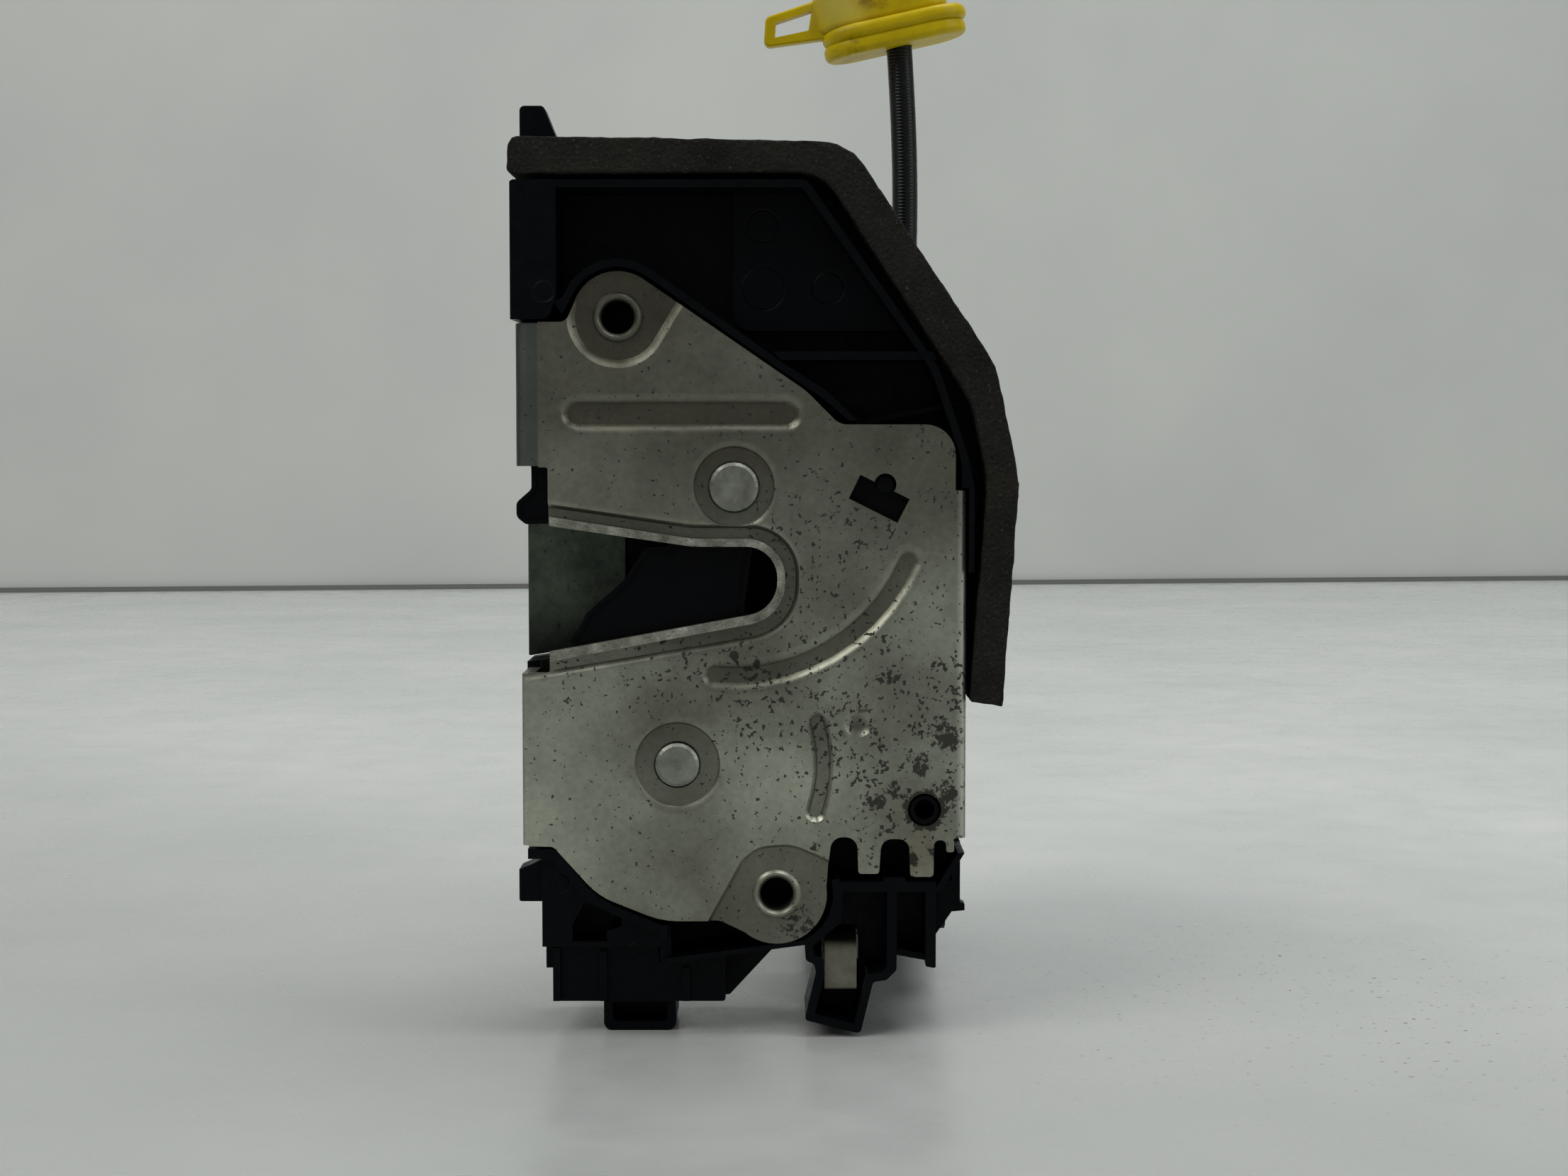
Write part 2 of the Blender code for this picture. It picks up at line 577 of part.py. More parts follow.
def make_lower_body():
    back = FLOOR_BACK
    body = [(-34.2, -59.9), (-29.7, -60.0, 1.0), (-22.6, -68.3, 12.0), (-12.2, -72.6, 13.0),
            (-10.6, -72.6), (-10.6, -79.1), (-12.4, -79.1), (-12.4, -76.7), (-32.1, -76.7),
            (-32.1, -61.9), (-34.2, -61.9)]
    rim = [(-34.2, -59.9), (-29.7, -60.0, 1.0), (-22.6, -68.3, 12.0), (-12.2, -72.6, 13.0),
           (-11.0, -72.7), (-11.2, -75.2), (-12.5, -75.2), (-12.7, -73.9, 0.5), (-23.4, -69.5, 12.0),
           (-30.4, -61.6, 1.0), (-34.2, -61.6)]
    window = [(-25.0, -69.2), (-18.9, -71.5, 0.4), (-18.8, -73.3, 0.4), (-21.3, -74.0), (-21.3, -75.8),
              (-27.1, -75.8), (-27.0, -72.8)]
    solid_body = slab("lower_body", body, WEB_FRONT + 2.0, back)
    cut(solid_body, slab("body_window", window, WEB_FRONT, 10.0))
    return [
        solid_body,
        slab("arc_rim", rim, WEB_FRONT, WEB_FRONT + 3.0),
        slab("side_tab", [(-36.2, -69.6, 0.4), (-36.2, -64.2), (-31.8, -62.3), (-31.8, -69.6)], 6.0, 12.0),
        slab("slanted_lip", [(-11.4, -79.1), (12.4, -75.9), (12.4, -75.1), (-11.4, -78.3)],
             WEB_FRONT, back),
    ]


def make_duct():
    back = FLOOR_BACK
    lower = BORES["lower"]
    lobe_wall = arc(lower, 10.7, -60, 14) + arc(lower, 9.4, 14, -60)
    duct = [(11.6, -75.2), (11.8, -78.6, 0.8), (13.2, -79.2, 0.5), (13.5, -80.5, 1.0), (11.6, -88.6, 0.7),
            (20.9, -90.9, 0.7), (23.0, -82.2, 0.8), (25.2, -81.9, 1.0), (26.9, -80.2, 1.0), (26.9, -66.4),
            (16.6, -66.4), (16.4, -71.6)]
    inside = [(13.0, -76.0), (13.1, -77.6, 0.5), (14.6, -78.3, 0.5), (15.0, -80.7, 1.0), (13.3, -87.6),
              (19.9, -89.3), (21.9, -81.0, 0.8), (24.4, -80.6, 0.6), (25.3, -79.6), (25.3, -67.1),
              (18.0, -67.1), (17.7, -72.2)]
    slats = slab("slatted_panel", [(33.0, -60.6), (38.2, -60.6), (38.2, -70.9), (39.0, -71.3),
                                   (39.0, -72.4), (36.8, -72.6), (33.2, -77.8), (33.0, -66.0)],
                 FLOOR_FRONT - 1.5, back)
    cut(slats, slab("slot_one", [(34.6, -64.4), (35.2, -64.4), (35.2, -67.3), (34.6, -67.3)], 0.0, 30.0),
        slab("slot_two", [(36.1, -64.4), (36.8, -64.4), (36.8, -67.3), (36.1, -67.3)], 0.0, 30.0))
    # The duct is closed behind, but for the slot that the outside handle's lever swings in
    rear = slab("duct_back", [(16.6, -66.4), (26.4, -66.4), (26.4, -80.6), (22.6, -81.7), (20.5, -90.0),
                              (12.5, -88.0), (14.3, -80.4), (12.4, -78.2), (12.4, -75.6), (16.2, -71.9)],
                11.5, back, holes=[[(ARM_LEFT - 0.4, -81.3), (ARM_RIGHT + 0.4, -81.3),
                                    (ARM_RIGHT + 0.4, -74.6), (ARM_LEFT - 0.4, -74.6)]])
    top = [(17.2, -65.4), (24.6, -65.4), (24.6, -64.7, 0.3), (28.3, -64.7, 0.3), (28.3, -65.4),
           (33.4, -65.4), (33.4, -67.1), (17.2, -67.1)]
    return [
        slab("duct", duct, WEB_FRONT, back, holes=[inside]),
        rear,
        slab("lobe_wall", lobe_wall, WEB_FRONT, back),
        slab("top_wall", top, WEB_FRONT, back),
        slab("outer_rib", [(31.7, -66.5), (33.4, -66.5), (33.4, -79.9, 0.3), (31.7, -79.6, 0.3)],
             WEB_FRONT, back),
        slab("bottom_web", [(26.0, -77.2), (32.4, -78.4), (32.4, -79.5), (26.0, -78.3)], 5.0, back),
        slab("web_floor", [(26.0, -66.4), (32.4, -66.4), (32.4, -79.0), (26.0, -77.8)], 12.0, back),
        slab("slanted_wall", [(37.0, -60.6), (38.1, -60.6), (34.2, -67.1), (33.0, -67.1)],
             WEB_FRONT, back),
        slats,
    ]


def make_collar():
    # The striker's pocket stands out behind the case floor and is closed at its inner end
    collar = slab("collar", mouth(WALL + 1.7), FLOOR_FRONT + 0.5, COLLAR_BACK, holes=[mouth(1.7)])
    cut(collar, block("collar_end", (-60.0, 0.0, -60.0), (-35.5, 60.0, 60.0)))
    wall = slab("collar_wall", mouth(1.9), COLLAR_BACK - WALL, COLLAR_BACK)
    cut(wall, block("guard_side", (-60.0, 0.0, -60.0), (GUARD_RIGHT - GUARD_LAP, 60.0, 60.0)))
    return [collar, wall]


def make_lock_case(plastic):
    case = slab("lock_case", case_floor(), FLOOR_FRONT, FLOOR_BACK)
    cut(case, slab("floor_mouth", mouth(1.7), FLOOR_FRONT - 1, FLOOR_BACK + 1))
    join(case, *make_top_frame(), *make_lower_body(), *make_duct(), *make_collar())
    for number, at in CASE_SCREWS.items():
        cut(case, rod(f"case_screw_hole_{number}", SCREW_R + GAP, FLOOR_FRONT - 1, FLOOR_BACK + 1, at))
    return finish(case, "lock_case", plastic)


def make_striker_guard(steel):
    back = COLLAR_BACK - WALL - GAP
    guard = slab("striker_guard", mouth(1.4), back - GUARD_T, back)
    cut(guard, block("guard_left", (-60.0, 0.0, -60.0), (GUARD_LEFT, 60.0, 60.0)),
        block("guard_right", (GUARD_RIGHT, 0.0, -60.0), (60.0, 60.0, 60.0)))
    return finish(guard, "striker_guard", steel)


def make_throat_bumper(rubber):
    bumper = slab("throat_bumper", mouth(1.4), FLOOR_BACK - 1.0, COLLAR_BACK - WALL - GAP,
                  holes=[mouth(-1.6)])
    cut(bumper, block("bumper_end", (-60.0, 0.0, -60.0), (-4.0, 60.0, 60.0)))
    return finish(bumper, "throat_bumper", rubber)


def make_rear_bush(plastic):
    outer, inner = BORE_R - GAP, BORE_R - GAP - 0.75
    profile = [(outer, FLOOR_FRONT - GAP), (outer, 0.4), (inner, 0.4), (inner, FLOOR_FRONT - GAP)]
    return finish(turned("rear_bush", profile, (THIRD_BORE[0], 0, THIRD_BORE[1])), "rear_bush", plastic)


def make_switches(plastic):
    back = FLOOR_FRONT - GAP
    catch_switch = slab("catch_switch", tilted_hole(0.9), PLATE_T + GAP, back)
    join(catch_switch, rod("switch_peg", 1.4, 0.8, PLATE_T + 1.0, (24.8, 0.4)))
    pawl_switch = block("pawl_switch", (19.0, CATCH_FRONT + 0.5, -52.0), (28.2, back, -44.0), 0.6)
    join(pawl_switch, rod("switch_button", 1.0, CATCH_FRONT, CATCH_FRONT + 1.0, (22.5, -46.0)))
    return [finish(catch_switch, "catch_switch", plastic), finish(pawl_switch, "pawl_switch", plastic)]


# Connector

def make_connector(plastic, brass):
    top, bottom, front, back = -77.0, -86.2, 4.5, 24.0
    under_lip = [(-12.8, -79.6), (-1.6, -78.1)]
    box = slab("connector_box", [(-30.4, top), (-12.8, top), *under_lip, (-1.6, bottom, 0.5),
                                 (-30.4, bottom, 0.3)], front, back)
    slope = slab("box_slope", [(-2.6, -78.6), (-2.6, bottom, 0.3), (-1.0, bottom, 0.5), (7.5, -77.0)],
                 front + 5.0, back - 0.1)
    tongue = slab("latch_tongue", [(-22.1, bottom + 1.0), (-22.1, BASE_Z, 1.4), (-10.0, BASE_Z, 1.4),
                                   (-10.0, bottom + 1.0)], 6.0, 18.0)
    cut(tongue, slab("tongue_recess", [(-20.6, bottom - 0.5), (-20.6, -90.0, 0.8), (-11.4, -90.0, 0.8),
                                       (-11.4, bottom - 0.5)], 5.0, 12.0))
    collar = block("socket_collar", (-31.8, 6.6, -81.0), (-30.0, 23.4, top))
    ribs = [block(f"box_rib_{left:.0f}", (left, front - 1.0, bottom + 0.2), (left + 1.2, front + 0.5, high))
            for left, high in ((-30.4, top), (-22.6, top - 0.6), (-8.7, top - 3.4))]
    join(box, slope, tongue, collar, *ribs)
    cut(box, block("socket", (-40.0, 8.0, -84.8), (-14.0, 22.0, -78.4), 0.8))
    header = block("connector_header", (-16.2, 8.3, -84.4), (-14.3, 21.7, -78.8), 0.4)
    pins = [block(f"contact_{index}", (-22.5, 9.2 + 2.5 * index, -81.9), (-15.5, 10.2 + 2.5 * index, -81.3))
            for index in range(5)]
    join(header, *pins)
    return [finish(box, "connector_box", plastic), finish(header, "connector_header", brass)]


# Locking drive

CASE_SCREWS = {1: (26.0, -10.5), 2: (26.0, -40.0)}
COVER_SCREWS = {1: (22.5, 23.5), 2: (DRIVE_REAR - 8.0, 10.0), 3: (DRIVE_REAR - 7.5, -84.0), 4: (50.0, -74.0)}
MOTOR_AT = (24.0, 35.0)
MOTOR_LOW = -66.0
WHEEL_AT = (MOTOR_AT[1] + WORM_R + GAP + WHEEL_R, -23.0)
LOCK_LEVER_AT = (DRIVE_REAR - 24.0, -50.0)
INSIDE_LEVER_AT = (60.0, -20.0)
OUTSIDE_LEVER_AT = (20.0, -75.0)
DRIVE_FRONT = FLOOR_BACK + GAP
DRIVE_COVER = DRIVE_RIGHT - COVER_T


def drive_outline(by=0.0):
    foot = DRIVE_REAR - FOOT_LENGTH
    return grown([(DRIVE_FRONT, DRIVE_TOP, 1.0), (DRIVE_REAR - 38.0, DRIVE_TOP, 5.0),
                  (DRIVE_REAR - 30.0, DRIVE_STEP, 5.0), (DRIVE_REAR, DRIVE_STEP, 7.0),
                  (DRIVE_REAR, BASE_Z, 1.2), (foot, BASE_Z, 1.2), (foot - 5.0, DRIVE_UNDER, 3.0),
                  (33.0, DRIVE_UNDER, 5.0), (27.0, -72.0, 4.0),
                  (DRIVE_FRONT, -72.0, 1.0)], by)


def make_drive_case(plastic):
    edge = DRIVE_COVER - GAP
    inner = DRIVE_LEFT + DRIVE_WALL
    case = slab("actuator_case", drive_outline(), DRIVE_LEFT, edge, "X")
    cut(case, slab("drive_cavity", drive_outline(-DRIVE_WALL), inner, edge + 1, "X"))
    for number, at in COVER_SCREWS.items():
        join(case, rod(f"screw_boss_{number}", BOSS_R, inner - 0.5, edge - 0.5, at, "X"))
        cut(case, rod(f"screw_bore_{number}", SCREW_R + GAP, inner + 8.0, edge + 1, at, "X"))
    for name, at, reach in (("wheel", WHEEL_AT, MOTOR_AT[0] - WHEEL_T / 2 - GAP),
                            ("lever", LOCK_LEVER_AT, MOTOR_AT[0] + WHEEL_T / 2 + 0.7 - GAP)):
        join(case, rod(name + "_boss", AXLE_R + 1.6, inner - 0.5, reach, at, "X"))
        cut(case, rod(name + "_axle_bore", AXLE_R + GAP, inner, reach + 1, at, "X"))
    for number, at in CASE_SCREWS.items():
        join(case, rod(f"case_boss_{number}", BOSS_R, DRIVE_FRONT, DRIVE_FRONT + 4.0, at))
        cut(case, rod(f"case_bore_{number}", SCREW_R + GAP, DRIVE_FRONT - 1, DRIVE_FRONT + 5.0, at))
    ear = [(16.8, -70.8), (23.2, -70.8), (23.2, -78.3, 3.1), (16.8, -78.3, 3.1)]
    join(case, slab("left_ear", ear, DRIVE_LEFT, DRIVE_LEFT + 1.6, "X"),
         slab("right_ear", ear, 25.0, 26.6, "X"),
         slab("rear_rib", [(DRIVE_REAR - 28.0, -79.0), (DRIVE_REAR - 26.0, -79.0),
                           (DRIVE_REAR - 26.0, -84.0, 0.5), (DRIVE_REAR - 28.0, -84.0, 0.5)],
              DRIVE_LEFT + 2, edge - 2, "X"))
    cut(case, rod("outside_axle_bore", 1.5 + GAP, DRIVE_LEFT - 1, 27.6, OUTSIDE_LEVER_AT, "X"),
        rod("inside_axle_bore", AXLE_R + GAP, DRIVE_LEFT - 1, inner + 1, INSIDE_LEVER_AT, "X"),
        rod("cable_entry", CABLE_D / 2 - 0.6, DRIVE_STEP - 6.0, DRIVE_STEP + 1.0, CABLE_AT, "Z"))
    return finish(case, "actuator_case", plastic)


def make_drive_cover(plastic):
    cover = slab("actuator_cover", drive_outline(), DRIVE_COVER, DRIVE_RIGHT, "X")
    join(cover, slab("cover_rib_up", [(30.0, 12.0), (31.4, 12.0), (31.4, -60.0), (30.0, -60.0)],
                     DRIVE_RIGHT - 0.5, DRIVE_RIGHT + 1.0, "X"),
         slab("cover_rib_across", [(24.0, -38.0), (DRIVE_REAR - 6.0, -38.0), (DRIVE_REAR - 6.0, -39.4),
                                      (24.0, -39.4)],
              DRIVE_RIGHT - 0.5, DRIVE_RIGHT + 1.0, "X"),
         rod("cover_wheel_dome", WHEEL_R - 3.0, DRIVE_RIGHT - 0.5, DRIVE_RIGHT + 1.2, WHEEL_AT, "X"))
    for number, at in COVER_SCREWS.items():
        cut(cover, rod(f"cover_hole_{number}", SCREW_R + GAP, DRIVE_COVER - 1, DRIVE_RIGHT + 2, at, "X"))
    return finish(cover, "actuator_cover", plastic)


def make_screw(name, at, seat, direction, axis, length, steel):
    # Pan-head screw: seat is the face under its head, direction the way the head points
    under = seat + direction * GAP
    profile = [(0, under + direction * SCREW_HEAD_T), (SCREW_HEAD_R - 0.7, under + direction * SCREW_HEAD_T),
               (SCREW_HEAD_R, under + direction * 0.6), (SCREW_HEAD_R, under), (SCREW_R, under),
               (SCREW_R, under - direction * length), (0, under - direction * length)]
    place = (0, *at) if axis == "X" else (at[0], 0, at[1])
    screw = turned(name, profile, place, axis, 16)
    top = under + direction * SCREW_HEAD_T
    low, high = sorted((top - direction * 0.9, top + direction * 0.5))
    across = [(at[0] - 0.35, at[1] - 1.5), (at[0] + 0.35, at[1] - 1.5),
              (at[0] + 0.35, at[1] + 1.5), (at[0] - 0.35, at[1] + 1.5)]
    along = [(at[0] - 1.5, at[1] - 0.35), (at[0] + 1.5, at[1] - 0.35),
             (at[0] + 1.5, at[1] + 0.35), (at[0] - 1.5, at[1] + 0.35)]
    cut(screw, slab(name + "_slot_a", across, low, high, axis), slab(name + "_slot_b", along, low, high, axis))
    return finish(screw, name, steel)


def make_motor(steel):
    top = MOTOR_LOW + MOTOR_LENGTH
    profile = [(0, top + 1.6), (3.0, top + 1.6), (3.0, top), (MOTOR_R - 1.0, top), (MOTOR_R, top - 1.0),
               (MOTOR_R, MOTOR_LOW + 1.0), (MOTOR_R - 1.0, MOTOR_LOW), (3.4, MOTOR_LOW),
               (3.4, MOTOR_LOW - 1.4), (0, MOTOR_LOW - 1.4)]
    return finish(turned("lock_motor", profile, (*MOTOR_AT, 0), "Z"), "lock_motor", steel)


def make_worm(brass):
    low = MOTOR_LOW + MOTOR_LENGTH + 1.6 + GAP
    thread_low = WHEEL_AT[1] - WORM_TURNS * WORM_PITCH / 2
    high = thread_low + WORM_TURNS * WORM_PITCH + 2.5
    core = rod("worm", WORM_CORE_R, low, high, MOTOR_AT, "Z")
    steps = WORM_TURNS * 10
    points = []
    for step in range(steps + 1):
        place = around(MOTOR_AT, WORM_CORE_R, 360 * step / 10)
        points.append((*place, thread_low + WORM_TURNS * WORM_PITCH * step / steps))
    join(core, wire("worm_thread", points, WORM_R - WORM_CORE_R, 1))
    return finish(core, "worm", brass)


def make_wheel(plastic):
    rim = []
    for tooth in range(WHEEL_TEETH):
        middle = 360 * (tooth + 0.5) / WHEEL_TEETH
        for shift, radius in ((-4.2, WHEEL_R - TOOTH_DEPTH), (-1.6, WHEEL_R), (1.6, WHEEL_R),
                              (4.2, WHEEL_R - TOOTH_DEPTH)):
            rim.append(around(WHEEL_AT, radius, middle + shift))
    low, high = MOTOR_AT[0] - WHEEL_T / 2, MOTOR_AT[0] + WHEEL_T / 2
    wheel = slab("worm_wheel", rim, low, high, "X", holes=[circle(WHEEL_AT, AXLE_R + GAP, 20)])
    ring = slab("wheel_web", circle(WHEEL_AT, WHEEL_R - TOOTH_DEPTH - 1.8), high - 1.6, high + 1, "X",
                holes=[circle(WHEEL_AT, AXLE_R + 2.2)])
    cut(wheel, ring)
    return finish(wheel, "worm_wheel", plastic)


def lever_shape(start, end, start_r, end_r):
    # A tapered lever: two round ends joined by their outer tangents
    along = Vector(end) - Vector(start)
    heading = math.degrees(math.atan2(along.y, along.x))
    tilt = math.degrees(math.acos((start_r - end_r) / along.length))
    return (arc(end, end_r, heading - tilt, heading + tilt)
            + arc(start, start_r, heading + tilt, heading + 360 - tilt))


def make_lock_lever(plastic):
    low = MOTOR_AT[0] + WHEEL_T / 2 + 0.7
    lever = slab("lock_lever", lever_shape(LOCK_LEVER_AT, (LOCK_LEVER_AT[0] - 12.0, LOCK_LEVER_AT[1] + 19.0), 5.0, 2.8), low, low + 2.4, "X",
                 holes=[circle(LOCK_LEVER_AT, AXLE_R + GAP, 20)])
    return finish(lever, "lock_lever", plastic)


def make_inside_lever(steel):
    high = DRIVE_LEFT - 1.2
    hub = INSIDE_LEVER_AT
    shape = lever_shape(hub, (58.0, 6.0), 5.5, 3.2)
    lever = slab("inside_handle_lever", shape, high - 2.0, high, "X", holes=[circle(hub, AXLE_R + GAP, 20)])
    cut(lever, rod("nipple_hole", 1.6, high - 4.0, high + 1.0, (58.0, 6.0), "X"),
        slab("wire_slot", [(57.4, 6.0), (58.6, 6.0), (58.6, 12.0), (57.4, 12.0)], high - 4.0, high + 1.0, "X"))
    join(lever, slab("lever_fold", [(62.0, -22.0), (66.6, -22.0), (66.6, -20.4), (62.0, -20.4)],
                     high - 7.0, high - 0.1, "X"))
    return finish(lever, "inside_handle_lever", steel)


def make_outside_lever(plastic):
    # Seen in the duct: its front arm stands in the opening, its foot reaches down behind
    pivot = OUTSIDE_LEVER_AT
    hub = rod("outside_handle_lever", 2.7, DRIVE_LEFT + 1.9, 24.7, pivot, "X")
    arm = [(18.5, -77.8), (20.5, -75.2), (9.0, -75.6, 2.0), (6.2, -77.2, 1.6), (5.6, -84.4, 0.5),
           (7.6, -84.8, 0.5), (8.4, -79.2, 1.5), (10.5, -78.2, 1.0)]
    foot = [(18.4, -75.0), (21.6, -75.0), (20.6, BASE_Z + GAP, 0.8), (17.0, BASE_Z + GAP, 0.8)]
    join(hub, slab("front_arm", arm, ARM_LEFT, ARM_RIGHT, "X"),
         slab("foot_leg", foot, DRIVE_LEFT + 2.0, 17.0, "X"))
    cut(hub, rod("outside_lever_bore", 1.5 + GAP, DRIVE_LEFT, 26.0, pivot, "X"))
    return finish(hub, "outside_handle_lever", plastic)


# Cable

def make_cable(rubber, sheath_look, yellow, steel):
    base = DRIVE_STEP + GAP
    top = base + FERRULE_LENGTH
    profile = [(0, top), (CABLE_D / 2 + 0.4, top), (CABLE_D / 2 + 1.2, base + 3.0), (FERRULE_R, base + 2.6),
               (FERRULE_R, base), (0, base)]
    ferrule = finish(turned("cable_ferrule", profile, (*CABLE_AT, 0), "Z", 20), "cable_ferrule", rubber)
    start = Vector((*CABLE_AT, top + GAP))
    end = Vector((CABLE_AT[0] - 0.6, CABLE_AT[1], 85.0))
    count = 8
    route = []
    for step in range(count + 1):
        share = step / count
        place = start.lerp(end, share)
        place.x += 0.9 * math.sin(math.pi * share)
        route.append(tuple(place))
    sheath = finish(wire("cable_sheath", route, CABLE_D / 2, 2), "cable_sheath", sheath_look)
    return [ferrule, sheath, make_fitting(end, yellow), make_nipple(end, steel)]


def make_fitting(end, yellow):
    # Oval holder tilted on the cable's end, with a lower lobe, a hub and a pull loop at the left
    middle = Vector((end.x - 0.8, end.y, end.z + 6.6))
    disc = slab("cable_fitting", stadium((middle.x - 8.6, middle.y), (middle.x + 8.6, middle.y), 7.6),
                middle.z - 2.0, middle.z + 2.0, "Z")
    lobe = slab("fitting_lobe", stadium((middle.x - 9.0, middle.y), (middle.x - 2.6, middle.y), 4.6),
                middle.z - 5.4, middle.z - 1.0, "Z")
    hub = rod("fitting_hub", 5.0, middle.z, middle.z + 7.5, middle.xy, "Z")
    tilt = Matrix.Rotation(math.radians(-FITTING_TILT), 4, "Y")
    place = Matrix.Translation(middle * MM) @ tilt @ Matrix.Translation(-middle * MM)
    for piece in (disc, lobe, hub):
        piece.data.transform(place)
    neck = rod("fitting_neck", CABLE_D / 2 + 1.0, end.z + GAP, end.z + 5.0, end.xy, "Z")
    loop = slab("pull_loop", [(4.9, 86.2, 1.2), (18.0, 88.2), (18.0, 95.8), (6.2, 92.0, 1.2)],
                end.y - 1.5, end.y + 1.5, holes=[[(6.9, 88.4), (13.0, 89.3), (13.8, 94.0), (7.3, 91.0)]])
    join(disc, lobe, hub, neck, loop)
    return finish(disc, "cable_fitting", yellow)


def make_nipple(end, steel):
    low = end.z + 16.0
    profile = [(0, low + 22.0), (NIPPLE_R - 0.6, low + 22.0), (NIPPLE_R, low + 21.4), (NIPPLE_R, low + 16.6),
               (NIPPLE_R - 0.6, low + 16.0), (WIRE_R, low + 16.0), (WIRE_R, low), (0, low)]
    return finish(turned("cable_nipple", profile, (end.x + 1.2, end.y, 0), "Z", 16), "cable_nipple", steel)


# Assembly

def pivot_empty(name, place):
    empty = bpy.data.objects.new(name, None)
    empty.location = Vector(place) * MM
    empty.empty_display_size = 0.01
    parts.objects.link(empty)
    return empty


def hang(pieces, empty):
    for piece in pieces:
        piece.parent = empty
        piece.matrix_parent_inverse = Matrix.Translation(-empty.location)


def main():
    clear_scene()
    zinc = material("zinc_plated_steel", (0.33, 0.33, 0.29), 0.42, 0.9)
    steel = material("hardened_steel", (0.30, 0.30, 0.31), 0.4, 1.0)
    rivet = material("rivet_steel", (0.36, 0.37, 0.36), 0.4, 1.0)
    case_black = material("black_pbt", (0.011, 0.013, 0.018), 0.5)
    drive_black = material("black_pom", (0.014, 0.014, 0.016), 0.55)
    foam = material("foam_rubber", (0.03, 0.026, 0.02), 0.95)
    rubber = material("black_rubber", (0.012, 0.012, 0.012), 0.8)
    cream = material("natural_nylon", (0.42, 0.41, 0.34), 0.5)
    yellow = material("yellow_pom", (0.58, 0.48, 0.01), 0.45)
    brass = material("brass", (0.55, 0.4, 0.15), 0.35, 1.0)

    fixed = [
        make_lock_plate(zinc), make_back_plate(zinc),
        make_pivot("catch_pivot", CATCH_AT, CATCH_PIN_R, rivet),
        make_pivot("pawl_pivot", PAWL_AT, PAWL_PIN_R, rivet), make_release_pivot(rivet),
        make_spring("catch_spring", CATCH_AT, CATCH_PIN_R + SHOULDER + 0.9, 60, steel),
        make_spring("pawl_spring", PAWL_AT, PAWL_PIN_R + SHOULDER + 0.9, 200, steel),
        make_lock_case(case_black), make_foam_seal(foam), make_striker_guard(zinc),
        make_throat_bumper(rubber), make_rear_bush(drive_black), *make_switches(drive_black),
        *make_connector(case_black, brass), make_drive_case(drive_black), make_drive_cover(drive_black),
        make_motor(steel),
        finish(rod("wheel_axle", AXLE_R, DRIVE_LEFT + DRIVE_WALL + GAP, DRIVE_COVER - GAP, WHEEL_AT, "X"),
               "wheel_axle", steel),
        finish(rod("lock_lever_axle", AXLE_R, DRIVE_LEFT + DRIVE_WALL + GAP, DRIVE_COVER - GAP,
                   LOCK_LEVER_AT, "X"), "lock_lever_axle", steel),
        finish(rod("outside_lever_axle", 1.5, DRIVE_LEFT - 0.2, 26.9, OUTSIDE_LEVER_AT, "X"),
               "outside_lever_axle", steel),
        finish(rod("inside_lever_axle", AXLE_R, 8.2, DRIVE_LEFT + 2.4, INSIDE_LEVER_AT, "X"),
               "inside_lever_axle", steel),
        *make_cable(rubber, case_black, yellow, steel),
    ]
    for number, at in COVER_SCREWS.items():
        fixed.append(make_screw(f"cover_screw_{number}", at, DRIVE_RIGHT, 1, "X", 8.0, steel))
    for number, at in CASE_SCREWS.items():
        fixed.append(make_screw(f"case_screw_{number}", at, FLOOR_FRONT, -1, "Y", 6.0, steel))

    base = pivot_empty("lock_frame", (0, 0, 0))
    moving = {
        "catch_axis": ((CATCH_AT[0], 0, CATCH_AT[1]), [*make_catch(steel, case_black)]),
        "pawl_axis": ((PAWL_AT[0], 0, PAWL_AT[1]), [make_pawl(steel)]),
        "release_axis": ((RELEASE_AT[0], 0, RELEASE_AT[1]), [make_release_lever(steel)]),
        "wheel_axis": ((MOTOR_AT[0], *WHEEL_AT), [make_wheel(cream)]),
        "worm_axis": ((*MOTOR_AT, WHEEL_AT[1]), [make_worm(brass)]),
        "lock_lever_axis": ((DRIVE_RIGHT, *LOCK_LEVER_AT), [make_lock_lever(cream)]),
        "outside_lever_axis": ((18.0, *OUTSIDE_LEVER_AT), [make_outside_lever(cream)]),
        "inside_lever_axis": ((DRIVE_LEFT, *INSIDE_LEVER_AT), [make_inside_lever(steel)]),
    }
    for name, (place, pieces) in moving.items():
        axis = pivot_empty(name, place)
        hang(pieces, axis)
        axis.parent = base
    for helper in list(helpers.objects):
        helper.parent = base
    for piece in fixed:
        piece.parent = base
    base.location = Vector((-(SEAL_LEFT + SEAL_RIGHT) / 2, -(CASE_FRONT + DRIVE_REAR) / 2, -BASE_Z)) * MM


main()
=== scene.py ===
# Car door lock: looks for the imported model, seen from the front as in the photograph.
# Places are millimetres from the catch pivot on the plate's outer face, X right, Y back, Z up,
# and lockPoint() moves them into the model's frame, in metres.

import math

import bmesh
import bpy
from mathutils import Matrix, Vector, noise


